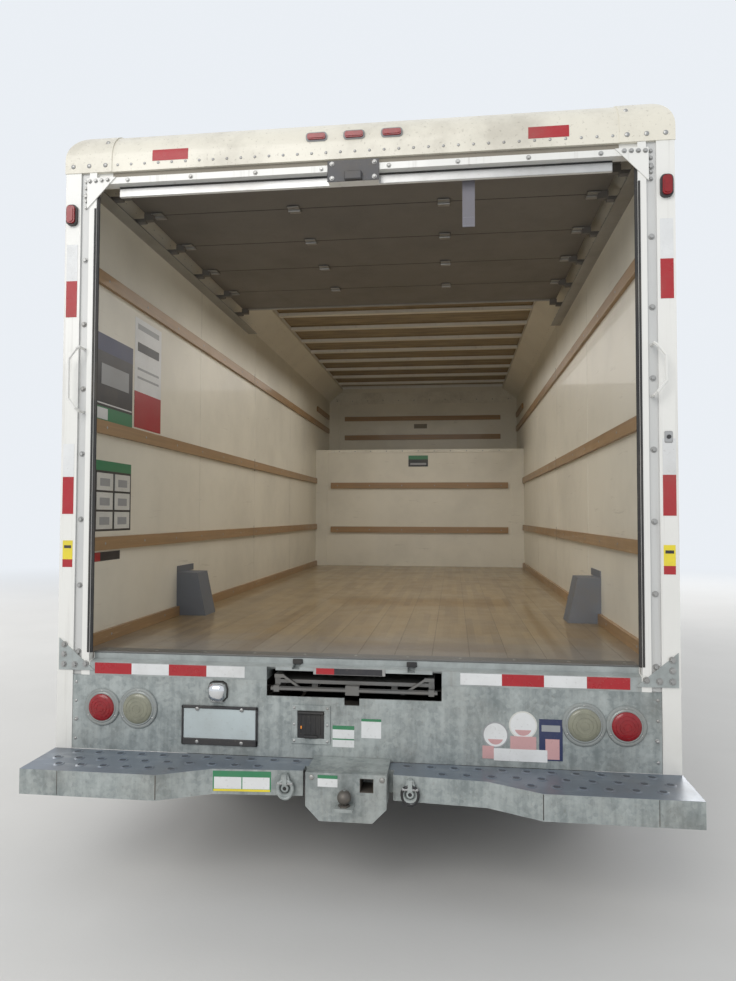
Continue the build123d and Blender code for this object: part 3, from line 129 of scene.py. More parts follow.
class Graph:
    """The node tree of a material or of the world."""

    def __init__(self, tree: bpy.types.NodeTree) -> None:
        """Empties the tree and has the place of each point of the surface at hand."""
        self.tree = tree
        self.tree.nodes.clear()
        self.place = self.node("ShaderNodeTexCoord", outlet="Object")
        split = self.node("ShaderNodeSeparateXYZ", {}, {0: self.place})
        self.x = split
        self.y = Wire(self, split.socket.node.outputs[1])
        self.z = Wire(self, split.socket.node.outputs[2])

    def node(
        self, kind: str, settings: dict | None = None, inputs: dict | None = None, outlet: int | str = 0
    ) -> Wire:
        """Adds a node.

        Args:
            kind: The node's type.
            settings: Its properties, set first.
            inputs: Values or wires by socket name or number.
            outlet: The output to hand back.

        Returns:
            That output.
        """
        made = self.tree.nodes.new(kind)
        for key, value in (settings or {}).items():
            setattr(made, key, value)
        for key, value in (inputs or {}).items():
            if isinstance(value, Wire):
                self.tree.links.new(value.socket, made.inputs[key])
            else:
                made.inputs[key].default_value = value
        return Wire(self, made.outputs[outlet] if len(made.outputs) else None)

    def span(self, value: Wire, low: float, high: float) -> Wire:
        """Smooth change from 0 to 1 while the value goes from low to high."""
        settings = {"interpolation_type": "SMOOTHSTEP", "clamp": True}
        return self.node("ShaderNodeMapRange", settings, {0: value, 1: low, 2: high})

    def stretch(self, by: Point) -> Wire:
        """Place of the surface, scaled by a factor along each axis."""
        return self.node("ShaderNodeVectorMath", {"operation": "MULTIPLY"}, {0: self.place, 1: by})

    def vector(self, x: Wire | float, y: Wire | float, z: Wire | float) -> Wire:
        """Vector of three values."""
        return self.node("ShaderNodeCombineXYZ", {}, {0: x, 1: y, 2: z})

    def noise(self, scale: float, detail: float = 3.0, by: Point = (1, 1, 1), rough: float = 0.5) -> Wire:
        """Noise from 0 to 1.

        Args:
            scale: Repeats in a metre.
            detail: Octaves.
            by: Stretch of the axes.
            rough: Weight of the finer octaves.

        Returns:
            The noise.
        """
        inputs = {"Vector": self.stretch(by), "Scale": scale, "Detail": detail, "Roughness": rough}
        return self.node("ShaderNodeTexNoise", {}, inputs)

    def cells(self, scale: float, by: Point = (1, 1, 1), feature: str = "F1", outlet: str = "Distance") -> Wire:
        """Cell pattern: distance to the nearest centre, or with another outlet its random colour."""
        inputs = {"Vector": self.stretch(by), "Scale": scale}
        return self.node("ShaderNodeTexVoronoi", {"feature": feature}, inputs, outlet)

    def mix(self, share: Wire | float, first: Wire | Colour, second: Wire | Colour) -> Wire:
        """Colour between two colours."""
        inputs = {0: share}
        for key, value in ((6, first), (7, second)):
            inputs[key] = value if isinstance(value, Wire) else (*value, 1.0)
        return self.node("ShaderNodeMix", {"data_type": "RGBA"}, inputs, 2)

    def bump(self, height: Wire, distance: float) -> Wire:
        """Normal of a surface raised by a height of about 0 to 1, where 1 stands for a distance in metres."""
        return self.node("ShaderNodeBump", {}, {"Height": height, "Distance": distance, "Strength": 1.0})

    def close(self, **sockets: Wire | float | Colour) -> None:
        """Feeds the shader and joins it to the output.

        Args:
            sockets: The shader's sockets, with _ for a space.
        """
        inputs = {}
        for key, value in sockets.items():
            is_colour = isinstance(value, tuple)
            inputs[key.replace("_", " ")] = (*value, 1.0) if is_colour and len(value) == 3 else value
        shader = self.node("ShaderNodeBsdfPrincipled", {}, inputs)
        self.node("ShaderNodeOutputMaterial", {}, {"Surface": shader})


def shade(colour: Colour, by: float) -> Colour:
    """A colour times a factor, with no channel over 1."""
    return tuple(min(1.0, c * by) for c in colour)


@dataclass(frozen=True)
class Finish:
    """A plain finish whose colour drifts a little, with fine grain and some dirt."""

    name: str
    colour: Colour
    roughness: float = 0.5
    metallic: float = 0.0
    coat: float = 0.0
    drift: float = 0.10
    drift_scale: float = 2.3
    grain: float = 0.0003
    grain_scale: float = 240.0
    dirt: float = 0.0
    dirt_colour: Colour = (0.20, 0.17, 0.13)
    through: float = 0.0

    def colours(self, g: Graph) -> Wire:
        """Colour over the surface before dirt."""
        low, high = shade(self.colour, 1 - self.drift), shade(self.colour, 1 + 0.5 * self.drift)
        return g.mix(g.noise(self.drift_scale, 4.0), low, high)

    def height(self, g: Graph) -> Wire:
        """Height of the fine grain."""
        return g.noise(self.grain_scale, 2.0)

    def soil(self, g: Graph) -> Wire:
        """Share of dirt over the surface, in drifts and specks."""
        drifts = g.span(g.noise(3.1, 6.0, rough=0.65), 0.42, 0.75)
        specks = g.span(g.noise(90.0, 2.0), 0.62, 0.72)
        return (drifts * 0.7 + specks * 0.5) * self.dirt

    def rough(self, g: Graph, soil: Wire) -> Wire:
        """Roughness, a little higher where there is dirt."""
        smear = g.noise(7.0, 3.0)
        return (smear - 0.5) * 0.16 + soil * 0.3 + self.roughness

    def build(self) -> bpy.types.Material:
        """Makes the material, or hands back the one made before."""
        if self.name in MADE:
            return MADE[self.name]
        material = bpy.data.materials.new(f"{self.name}_finish")
        MADE[self.name] = material
        material.use_nodes = True
        g = Graph(material.node_tree)
        soil = self.soil(g)
        colour = g.mix(soil, self.colours(g), self.dirt_colour)
        normal = g.bump(self.height(g), self.grain)
        extra = {"Transmission_Weight": self.through} if self.through else {}
        g.close(
            Base_Color=colour,
            Roughness=self.rough(g, soil),
            Metallic=self.metallic,
            Coat_Weight=self.coat,
            Normal=normal,
            **extra,
        )
        return material


@dataclass(frozen=True)
class PanelPaint(Finish):
    """Off-white gel-coated panel outside, cream lining inside, with rain streaks and scuffs."""

    lining: Colour = (0.76, 0.72, 0.61)
    inside_x: float = 1.172
    inside_y: Pair = (0.02, 6.102)
    inside_top: float = 3.06
    resin_x: float = 1.08
    resin_y: Pair = (0.16, 6.08)
    resin_z: Pair = (3.084, 3.096)
    # Two tones of painted light: daylight through the roof sheet, seen from below.
    amber: tuple[Colour, Colour] = ((0.36, 0.26, 0.115), (0.13, 0.080, 0.032))

    def inside(self, g: Graph) -> Wire:
        """Mask of what faces the load space."""
        rear, front = self.inside_y
        within = abs(g.x).under(self.inside_x, 0.002) * g.y.under(front + REAR_FACE, 0.002)
        return within * g.z.under(self.inside_top, 0.004) * g.y.over(rear + REAR_FACE, 0.002)

    def resin(self, g: Graph) -> Wire:
        """Mask of the see-through roof sheet between the bows, from below."""
        (rear, front), (low, high) = self.resin_y, self.resin_z
        level = g.z.over(low, 0.002) * g.z.under(high)
        within = abs(g.x).under(self.resin_x, 0.01) * g.y.over(rear + REAR_FACE, 0.01)
        return level * within * g.y.under(front + REAR_FACE, 0.01)

    def colours(self, g: Graph) -> Wire:
        """White outside, cream inside, and over the bows amber tones that stand in for daylight shining through the
        roof sheet (painted light).
        """
        outside = super().colours(g)
        stain = g.span(g.noise(1.3, 5.0, rough=0.6), 0.38, 0.72)
        inside = g.mix(self.inside(g), outside, g.mix(stain, self.lining, shade(self.lining, 0.86)))
        marks = g.span(g.noise(1.0, 6.0, (3.0, 22.0, 1.0), 0.66), 0.36, 0.72)
        # Painted light: between the bows the sheet takes amber tones, streaked by noise, that stand in for daylight
        # shining through it.
        return g.mix(self.resin(g), inside, g.mix(marks, *self.amber))

    def soil(self, g: Graph) -> Wire:
        """Rain streaks down the walls, and more dirt low down and on the roof."""
        streaks = g.span(g.noise(1.0, 5.0, (19.0, 19.0, 0.45), 0.6), 0.50, 0.86)
        low = 1 - g.span(g.z, 0.5, 1.5)
        top = g.z.over(3.085, 0.01)
        scuffs = g.span(g.noise(1.0, 6.0, (5.0, 2.2, 30.0), 0.7), 0.62, 0.70)
        inside = self.inside(g)
        outer = streaks * 0.4 + low * 0.35 + top * 0.5
        return (outer * (1 - inside) + scuffs * 0.30 * inside) * self.dirt


@dataclass(frozen=True)
class Galvanised(Finish):
    """Hot-dip zinc: clouded greys, faint spangles, run marks and rust in the drips."""

    spangle: float = 70.0
    rust: float = 0.18
    pale: Colour = (0.43, 0.465, 0.455)

    def colours(self, g: Graph) -> Wire:
        """Clouds and runs of light and dark zinc over faint cells."""
        tone = g.node("ShaderNodeSeparateColor", {}, {0: g.cells(self.spangle, outlet="Color")})
        cloud = g.noise(7.5, 7.0, (1.0, 1.0, 0.75), 0.70)
        runs = g.noise(1.0, 5.0, (30.0, 30.0, 2.6), 0.62)
        share = g.span(tone * 0.10 + cloud * 0.85 + runs * 0.45, 0.46, 0.92)
        zinc = g.mix(share, self.colour, self.pale)
        drips = g.span(g.noise(1.0, 5.0, (24.0, 24.0, 2.2), 0.6), 0.60, 0.80)
        return g.mix(drips * self.rust, zinc, (0.22, 0.15, 0.09))

    def height(self, g: Graph) -> Wire:
        """Soft lumps of the dip."""
        return g.noise(46.0, 4.0) + g.noise(190.0, 2.0) * 0.4


@dataclass(frozen=True)
class StepZinc(Galvanised):
    """Zinc of the step, rubbed dark and smooth on its tread."""

    tread_z: float = 0.4985
    tread: Colour = (0.175, 0.205, 0.245)

    def colours(self, g: Graph) -> Wire:
        """Dark, scuffed tread over clouded sides."""
        scuff = g.span(g.noise(1.0, 6.0, (4.0, 12.0, 1.0), 0.66), 0.50, 0.74)
        tread = g.mix(scuff * 0.55, self.tread, (0.36, 0.40, 0.43))
        return g.mix(g.z.over(self.tread_z, 0.0004), super().colours(g), tread)

    def rough(self, g: Graph, soil: Wire) -> Wire:
        """Smoother on the tread."""
        return super().rough(g, soil) - g.z.over(self.tread_z, 0.0004) * 0.16


@dataclass(frozen=True)
class FramePaint(Finish):
    """White posts and header of the rear frame, with bare zinc on the sill and the lower gussets."""

    sill_z: float = 0.8895
    sill_x: float = 1.092
    gusset_top: float = 1.0
    channel_x: Pair = (1.127, 1.166)
    zinc: Colour = (0.28, 0.305, 0.30)

    def bare(self, g: Graph) -> Wire:
        """Mask of the bare metal."""
        sill = g.z.under(self.sill_z) * abs(g.x).under(self.sill_x)
        return sill.most(g.y.under(REAR_FACE - 0.0012, 0.0004) * g.z.under(self.gusset_top))

    def colours(self, g: Graph) -> Wire:
        """White with a darker grey over the recessed channel, and clouded zinc."""
        cloud = g.span(g.noise(8.0, 6.0, rough=0.68), 0.36, 0.66)
        zinc = g.mix(cloud, self.zinc, shade(self.zinc, 1.35))
        inner, outer = self.channel_x
        # The recessed channel of each post is mixed toward grey, by a fixed share plus streaky noise.
        channel = g.y.over(REAR_FACE + 0.005) * abs(g.x).over(inner) * abs(g.x).under(outer)
        channel_grey = channel * (g.noise(1.0, 5.0, (10.0, 10.0, 1.3), 0.6) * 0.5 + 0.28)
        white = g.mix(channel_grey, super().colours(g), (0.36, 0.37, 0.38))
        return g.mix(self.bare(g), white, zinc)

    def soil(self, g: Graph) -> Wire:
        """Rain streaks down the posts and more dirt low down."""
        streaks = g.span(g.noise(1.0, 5.0, (40.0, 40.0, 1.1), 0.62), 0.54, 0.80)
        low = 1 - g.span(g.z, 0.5, 0.95)
        return (streaks * 0.55 + low * 0.35 * g.noise(12.0, 4.0)) * self.dirt


@dataclass(frozen=True)
class Planks(Finish):
    """Oiled floor boards that run along the truck, with worn lanes and dark joints."""

    board: float = 0.152
    strip: float = 0.038
    browns: tuple[Colour, Colour] = ((0.145, 0.096, 0.046), (0.355, 0.250, 0.122))
    lane: Colour = (0.38, 0.30, 0.185)
    rear_end: Colour = (0.205, 0.195, 0.185)
    gap: Colour = (0.05, 0.04, 0.03)

    def colours(self, g: Graph) -> Wire:
        """Strips of unlike browns with grain along them and dark joints between boards."""
        strip = (g.x / self.strip).floored()
        row = g.vector(strip * 3.7, (g.y * 1.4 + strip * 0.37).floored() * 2.3, 0.0)
        chance = g.node("ShaderNodeTexWhiteNoise", {"noise_dimensions": "3D"}, {"Vector": row})
        grain = g.noise(1.0, 6.0, (120.0, 2.2, 1.0), 0.65)
        wood = g.mix(chance * 0.45 + grain * 0.6, *self.browns)
        lanes = g.span(g.noise(1.0, 5.0, (3.2, 0.9, 1.0), 0.6), 0.40, 0.72)
        worn = g.mix(lanes * 0.40, wood, self.lane)
        rear = 1 - g.span(g.y + g.noise(3.0, 5.0, (1.0, 3.0, 1.0)) * 0.5, REAR_FACE + 0.35, REAR_FACE + 1.0)
        worn = g.mix(rear * 0.80, worn, self.rear_end)
        joint = g.x.wrap(self.board).under(0.0022, 0.0008)
        return g.mix(joint * 0.75, worn, self.gap)

    def height(self, g: Graph) -> Wire:
        """Grain and joints."""
        joint = g.x.wrap(self.board).over(0.0025, 0.001)
        return g.noise(1.0, 5.0, (150.0, 3.0, 1.0), 0.6) * 0.35 + joint


@dataclass(frozen=True)
class Timber(Finish):
    """Varnished boards, grained along their run, with pale scrapes along them."""

    def colours(self, g: Graph) -> Wire:
        """Honey browns with long grain."""
        run = g.x + g.y
        along = g.vector(run * 1.1, 0.0, g.z * 46.0)
        settings = {"Vector": along, "Scale": 1.0, "Detail": 6.0, "Roughness": 0.62, "Distortion": 0.5}
        grain = g.node("ShaderNodeTexNoise", {}, settings)
        wood = g.mix(grain, shade(self.colour, 0.55), shade(self.colour, 1.25))
        scrape = g.span(g.noise(1.0, 6.0, (3.0, 3.0, 55.0), 0.7), 0.60, 0.68)
        return g.mix(scrape * 0.35, wood, (0.62, 0.50, 0.34))

    def height(self, g: Graph) -> Wire:
        """Long grain."""
        run = g.x + g.y
        return g.node("ShaderNodeTexNoise", {}, {"Vector": g.vector(run * 2.0, 0.0, g.z * 120.0), "Scale": 1.0})


@dataclass(frozen=True)
class Tape(Finish):
    """Reflective tape with a fine hexagon net."""

    def height(self, g: Graph) -> Wire:
        """Net of sealed cells."""
        return g.cells(210.0, feature="DISTANCE_TO_EDGE").over(0.06, 0.05)


@dataclass(frozen=True)
class Weave(Finish):
    """Woven cloth or webbing."""

    pitch: float = 0.004

    def height(self, g: Graph) -> Wire:
        """Crossed threads."""
        turn = 2 * math.pi / self.pitch
        return (g.x * turn).alone("SINE") * (g.z * turn + g.y * turn).alone("SINE") * 0.5 + 0.5


@dataclass(frozen=True)
class Rubber(Finish):
    """Tyre rubber with dust in patches."""

    def soil(self, g: Graph) -> Wire:
        """Dust in patches."""
        return g.span(g.noise(9.0, 5.0), 0.40, 0.75) * self.dirt


BOX_WHITE = PanelPaint("panel_paint", (0.80, 0.79, 0.75), 0.43, coat=0.15, dirt=0.6, grain=0.0002)
FRAME_WHITE = FramePaint("frame_white", (0.78, 0.775, 0.74), 0.36, coat=0.3, dirt=0.55, drift=0.08)
CREAM_METAL = Finish("cream_metal", (0.77, 0.735, 0.63), 0.38, coat=0.2, dirt=0.5, drift=0.12)
CAB_WHITE = Finish("cab_white", (0.82, 0.82, 0.80), 0.22, coat=0.8, dirt=0.16, drift=0.03, grain=0.00006)
ZINC = Galvanised("zinc_panel", (0.20, 0.228, 0.228), 0.46, metallic=0.35, dirt=0.35)
STEP_ZINC = StepZinc("step_zinc", (0.21, 0.24, 0.24), 0.48, metallic=0.35, dirt=0.4, rust=0.12)
BARE_METAL = Finish("bare_metal", (0.46, 0.46, 0.455), 0.38, metallic=0.85, dirt=0.35, drift=0.2, drift_scale=14.0)
# Aluminium of the ramp and the threshold plate, made dark to carry the shade in the ramp slot: painted shade.
RAMP_METAL_SHADED = Finish("ramp_aluminium_shaded", (0.19, 0.19, 0.185), 0.42, metallic=0.7, dirt=0.5, drift=0.2, drift_scale=9.0)
BALL_STEEL = Finish("ball_steel", (0.13, 0.12, 0.11), 0.42, metallic=0.6, dirt=0.5, drift=0.3, drift_scale=30.0)
FASTENER = Finish("fastener", (0.42, 0.42, 0.41), 0.42, metallic=0.8, dirt=0.5, drift=0.3, drift_scale=30.0)
CHROME = Finish("chrome", (0.72, 0.73, 0.74), 0.12, metallic=1.0, drift=0.03, grain=0.0)
DECK_BOARDS = Planks("deck_boards", (0.36, 0.265, 0.145), 0.33, coat=0.35, dirt=0.4, grain=0.0012)
SLAT_WOOD = Timber("slat_timber", (0.37, 0.225, 0.105), 0.42, coat=0.2, dirt=0.25, grain=0.0006)
# Grey-brown paint of the stowed door's underside, made darker to carry the shade under the roof: partly painted shade.
DOOR_GREY_SHADED = Finish("door_paint_and_shade", (0.165, 0.152, 0.135), 0.5, dirt=0.45, drift=0.2, dirt_colour=(0.13, 0.12, 0.11))
CHASSIS = Finish("chassis_black", (0.045, 0.043, 0.04), 0.62, dirt=0.9, dirt_colour=(0.16, 0.13, 0.10))
IRON = Finish("cast_iron", (0.11, 0.095, 0.085), 0.7, metallic=0.3, dirt=0.9, dirt_colour=(0.17, 0.13, 0.09))
BLACK = Finish("black_plastic", (0.028, 0.028, 0.03), 0.48, dirt=0.25, grain=0.0005, grain_scale=420.0)
GLOSS_BLACK = Finish("gloss_black", (0.02, 0.02, 0.022), 0.2, dirt=0.1, drift=0.05, grain=0.00005)
GAP_SHADE = Finish("gap_shade", (0.26, 0.235, 0.19), 0.6, dirt=0.5, drift=0.2)
SEAL = Finish("seal_rubber", (0.022, 0.022, 0.023), 0.66, dirt=0.35)
TYRE = Rubber("tyre_rubber", (0.026, 0.026, 0.027), 0.72, dirt=0.55, grain=0.0005)
RIM = Finish("rim_paint", (0.56, 0.56, 0.55), 0.36, metallic=0.55, dirt=0.5, drift=0.1)
WHEEL_BOX = Finish("wheel_box_steel", (0.150, 0.165, 0.190), 0.5, dirt=0.45, drift=0.2, drift_scale=7.0)
DIMPLE = Finish("dimple_shade", (0.085, 0.100, 0.122), 0.5, metallic=0.3, dirt=0.3, drift=0.3, drift_scale=30.0)
GREY_PLATE = Finish("grey_plate", (0.27, 0.28, 0.29), 0.5, dirt=0.45, drift=0.16)
PLATE_BLUE = Finish("blank_plate", (0.50, 0.57, 0.58), 0.34, coat=0.3, drift=0.22, drift_scale=5.0, dirt=0.3)
GREY_PLATE_DARK = Finish("latch_steel", (0.075, 0.075, 0.08), 0.5, metallic=0.2, dirt=0.5, drift=0.3, drift_scale=14.0)
DASH = Finish("dash_grey", (0.10, 0.10, 0.105), 0.62, dirt=0.1, grain=0.0006, grain_scale=600.0)
CLOTH = Weave("seat_cloth", (0.11, 0.115, 0.125), 0.85, grain=0.0006)
WEBBING = Weave("strap_web", (0.19, 0.185, 0.21), 0.75, grain=0.0006, dirt=0.4)
PANE = Finish("window_glass", (0.78, 0.84, 0.82), 0.03, drift=0.0, grain=0.0, through=0.94)
CLEAR_LENS = Finish("clear_lens", (0.86, 0.87, 0.86), 0.08, drift=0.02, grain=0.0001, through=0.85)
LAMP_RING = Finish("lamp_ring", (0.30, 0.32, 0.31), 0.42, metallic=0.4, dirt=0.5, drift=0.2, drift_scale=22.0)
REVERSE_LENS = Finish("reverse_lens", (0.25, 0.25, 0.185), 0.22, coat=0.3, drift=0.35, drift_scale=34.0, dirt=0.2)
RED_LENS = Finish("red_lens", (0.27, 0.005, 0.009), 0.26, coat=0.15, drift=0.4, drift_scale=45.0, grain=0.0003)
AMBER_LENS = Finish("amber_lens", (0.75, 0.24, 0.01), 0.16, coat=0.8, drift=0.2, drift_scale=30.0)
MIRROR = Finish("mirror_glass", (0.80, 0.82, 0.83), 0.02, metallic=1.0, drift=0.0, grain=0.0)


class Vinyl(Enum):
    """Colours of the blank stickers, signs and tapes."""

    RED = (0.40, 0.012, 0.020)
    WHITE = (0.74, 0.75, 0.75)
    BLACK = (0.025, 0.025, 0.03)
    NAVY = (0.025, 0.035, 0.10)
    GREEN = (0.035, 0.22, 0.10)
    YELLOW = (0.80, 0.66, 0.04)
    PINK = (0.58, 0.34, 0.34)
    GREY = (0.33, 0.34, 0.35)
    PAPER = (0.66, 0.66, 0.62)

    def finish(self) -> Finish:
        """Printed film of this colour."""
        name = f"vinyl_{self.name.lower()}"
        return Finish(name, self.value, 0.36, drift=0.12, drift_scale=9.0, dirt=0.30, grain=0.00008)

    def tape(self) -> Finish:
        """Reflective tape of this colour."""
        name = f"tape_{self.name.lower()}"
        return Tape(name, self.value, 0.28, drift=0.12, drift_scale=14.0, dirt=0.35, grain=0.0002)


class Piece:
    """One visible piece, whose faces are collected in station metres before made() turns them into an object."""

    def __init__(self, name: str, finish: Finish, body: str = "truck", slot: str | None = None) -> None:
        """Starts an empty piece.

        Args:
            name: The object's name.
            finish: The finish of the faces that come first.
            body: The body that it rides on.
            slot: The record's material slot that it stands for; it is stored but not used.
        """
        self.name = name
        self.body = body
        self.slot = slot
        self.points: list[Vector] = []
        self.faces: list[tuple[int, ...]] = []
        self.marks: list[int] = []
        self.finishes: list[Finish] = [finish]
        self.mark = 0

    def use(self, finish: "Finish | Vinyl") -> "Piece":
        """Sets the finish of the faces that follow, or the colour of their printed film."""
        finish = finish.finish() if isinstance(finish, Vinyl) else finish
        if finish not in self.finishes:
            self.finishes.append(finish)
        self.mark = self.finishes.index(finish)
        return self

    def add(self, points: Iterable[Sequence[float]], faces: Iterable[Sequence[int]]) -> "Piece":
        """Adds points and the faces between them."""
        first = len(self.points)
        self.points.extend(Vector(p) for p in points)
        for face in faces:
            self.faces.append(tuple(first + i for i in face))
            self.marks.append(self.mark)
        return self

    def box(self, low: Point, high: Point, edge: float = 0.0) -> "Piece":
        """Adds a box between two corners, with its edges cut by the given width."""
        middle = [(a + b) / 2 for a, b in zip(low, high)]
        half = [abs(b - a) / 2 for a, b in zip(low, high)]
        signs = [(x, y, z) for x in (-1, 1) for y in (-1, 1) for z in (-1, 1)]
        if edge <= 0:
            points = [[m + s * h for m, s, h in zip(middle, sign, half)] for sign in signs]
            return self.add(points, BOX_FACES)
        edge = min(edge, 0.49 * 2 * min(half))
        index: dict[tuple, int] = {}
        points = []
        for sign in signs:
            for axis in range(3):
                index[sign, axis] = len(points)
                points.append([
                    middle[i] + sign[i] * (half[i] - (0 if i == axis else edge)) for i in range(3)
                ])

        def corner(axis: int, *places: int) -> tuple[int, ...]:
            """Signs of a corner, from those along an axis and along the two after it."""
            return tuple(places[(i - axis) % 3] for i in range(3))

        faces = [tuple(index[sign, axis] for axis in range(3)) for sign in signs]
        for axis in range(3):
            one, two = (axis + 1) % 3, (axis + 2) % 3
            for a in (-1, 1):
                loop = ((-1, -1), (1, -1), (1, 1), (-1, 1))
                faces.append(tuple(index[corner(axis, a, *pair), axis] for pair in loop))
                for b in (-1, 1):
                    low_end, high_end = corner(axis, -1, a, b), corner(axis, 1, a, b)
                    faces.append((index[low_end, one], index[high_end, one], index[high_end, two], index[low_end, two]))
        return self.add(points, faces)

    def both(self, low: Point, high: Point, edge: float = 0.0) -> "Piece":
        """Adds a box and its mirror image on the other side of the truck."""
        self.box(low, high, edge)
        return self.box((-high[0], low[1], low[2]), (-low[0], high[1], high[2]), edge)

    def loft(self, loops: Sequence[Sequence[Sequence[float]]], closed: bool = False) -> "Piece":
        """Adds a skin over a row of loops.

        Args:
            loops: Loops with as many points each.
            closed: Whether the last loop joins the first; otherwise both ends are capped.

        Returns:
            The piece.
        """
        count, total = len(loops[0]), len(loops)
        faces: list[tuple[int, ...]] = []
        if not closed:
            faces = [tuple(range(count)), tuple(range(total * count - 1, (total - 1) * count - 1, -1))]
        for row in range(total if closed else total - 1):
            one, two = row * count, (row + 1) % total * count
            faces += [(one + i, one + (i + 1) % count, two + (i + 1) % count, two + i) for i in range(count)]
        return self.add([point for loop in loops for point in loop], faces)

    def prism(self, outline: Sequence[Pair], axis: int, low: float, high: float) -> "Piece":
        """Adds an outline swept along an axis.

        Args:
            outline: Points across the other two axes, in the axes' order.
            axis: 0, 1 or 2 for x, y or z.
            low: Where the sweep starts.
            high: Where it ends.

        Returns:
            The piece.
        """
        return self.loft([[(*p[:axis], level, *p[axis:]) for p in outline] for level in (low, high)])

    def lathe(self, centre: Point, axis: Point, rows: Sequence[Pair], sides: int = 24) -> "Piece":
        """Adds a turned form.

        Args:
            centre: A point of the axis.
            axis: The axis.
            rows: Distance along the axis and radius; the form closes at radius 0, or from the last row to the first.
            sides: Points round the axis.

        Returns:
            The piece.
        """
        turn = Vector((0, 0, 1)).rotation_difference(Vector(axis).normalized()).to_matrix()
        base = Vector(centre)
        points: list[Vector] = []
        rings: list[list[int]] = []
        for along, radius in rows:
            if radius <= 0:
                rings.append([len(points)] * sides)
                points.append(base + turn @ Vector((0, 0, along)))
                continue
            rings.append(list(range(len(points), len(points) + sides)))
            for step in range(sides):
                angle = 2 * math.pi * step / sides
                points.append(base + turn @ Vector((radius * math.cos(angle), radius * math.sin(angle), along)))
        faces = []
        open_ends = rows[0][1] > 0 and rows[-1][1] > 0
        pairs = list(zip(rings, rings[1:])) + ([(rings[-1], rings[0])] if open_ends else [])
        for one, two in pairs:
            for step in range(sides):
                ahead = (step + 1) % sides
                loop = [one[step], one[ahead], two[ahead], two[step]]
                kept = [p for i, p in enumerate(loop) if p not in loop[:i]]
                if len(kept) > 2:
                    faces.append(tuple(kept))
        return self.add(points, faces)

    def rod(self, start: Point, end: Point, radius: float, sides: int = 16) -> "Piece":
        """Adds a round bar from one point to another."""
        run = Vector(end) - Vector(start)
        return self.lathe(start, tuple(run), ((0, 0), (0, radius), (run.length, radius), (run.length, 0)), sides)

    def tube(self, path: Sequence[Point], radius: float, sides: int = 10, closed: bool = False) -> "Piece":
        """Adds a round bar along a path.

        Args:
            path: Points of the path.
            radius: Radius of the bar.
            sides: Points round it.
            closed: Whether the last point joins the first.

        Returns:
            The piece.
        """
        line = [Vector(p) for p in path]
        count = len(line)
        turns = [2 * math.pi * step / sides for step in range(sides)]
        loops: list[list[Vector]] = []
        across = None
        for i, here in enumerate(line):
            before = line[(i - 1) % count] if closed or i else here
            after = line[(i + 1) % count] if closed or i < count - 1 else here
            along = (after - before).normalized()
            if across is None:
                across = along.orthogonal().normalized()
            across = (across - along * across.dot(along)).normalized()
            other = along.cross(across)
            loops.append([here + (across * math.cos(t) + other * math.sin(t)) * radius for t in turns])
        return self.loft(loops, closed)

    def dome(self, centre: Point, axis: Point, radius: float, height: float, sides: int = 12) -> "Piece":
        """Adds a rivet head, sunk a little in what carries it."""
        rows = [(-0.001, 0), (-0.001, radius)]
        rows += [(height * math.sin(a), radius * math.cos(a)) for a in (0.0, 0.5, 1.0)]
        return self.lathe(centre, axis, [*rows, (height, 0)], sides)

    def disc(
        self, centre: Point, axis: Point, radius: float, height: float, sides: int, sunk: float = 0.001
    ) -> "Piece":
        """Adds a flat disc, sunk a little in what carries it."""
        return self.lathe(centre, axis, ((-sunk, 0), (-sunk, radius), (height, radius), (height, 0)), sides)

    def row(self, start: Point, end: Point, pitch: float, axis: Point, head: Pair, sides: int = 12) -> "Piece":
        """Adds rivets from one point to another.

        Args:
            start: The first rivet.
            end: The last one.
            pitch: How far apart they are, more or less.
            axis: Where their heads point.
            head: Radius and height of a head.
            sides: Points round a head.

        Returns:
            The piece.
        """
        for share in spread(0.0, 1.0, pitch / math.dist(start, end)):
            self.dome([a + (b - a) * share for a, b in zip(start, end)], axis, *head, sides)
        return self

    def window(self, x: Pair, z: Pair, y: Pair, bars: Point, edge: float = 0.0, lap: bool = True) -> "Piece":
        """Adds four bars round an opening that faces rearward.

        Args:
            x: Its outer ends across the truck.
            z: Its outer lower and upper edge.
            y: Rear and front of the bars.
            bars: Width of the lower, upper and side bars.
            edge: Width of their cut edges.
            lap: Whether the side bars run over the lower and upper ones.

        Returns:
            The piece.
        """
        low, high, side = bars
        inner = z if lap else (z[0] + low, z[1] - high)
        for x0, x1, z0, z1 in (
            (*x, z[0], z[0] + low), (*x, z[1] - high, z[1]),
            (x[0], x[0] + side, *inner), (x[1] - side, x[1], *inner),
        ):
            self.box((x0, y[0], z0), (x1, y[1], z1), edge)
        return self

    def shell(self, rows: int, columns: int, place: Callable[[int, float, float], Point]) -> "Piece":
        """Adds a closed pad or strip of two faces that are joined round their edges.

        Args:
            rows: Steps up.
            columns: Steps across.
            place: Gives a point by its face, -1 or 1, and by its places across and up, from -1 to 1.

        Returns:
            The piece.
        """
        points = [
            place(face, 2 * column / columns - 1, 2 * row / rows - 1)
            for face in (-1, 1) for row in range(rows + 1) for column in range(columns + 1)
        ]
        wide = columns + 1
        whole = (rows + 1) * wide
        faces: list[tuple[int, ...]] = []
        for row in range(rows):
            for column in range(columns):
                a = row * wide + column
                quad = (a, a + 1, a + 1 + wide, a + wide)
                faces += [quad, tuple(whole + i for i in quad)]
            for a in (row * wide, row * wide + columns):
                faces.append((a, a + wide, whole + a + wide, whole + a))
        for first in (0, rows * wide):
            faces += [(first + c, first + c + 1, whole + first + c + 1, whole + first + c) for c in range(columns)]
        return self.add(points, faces)

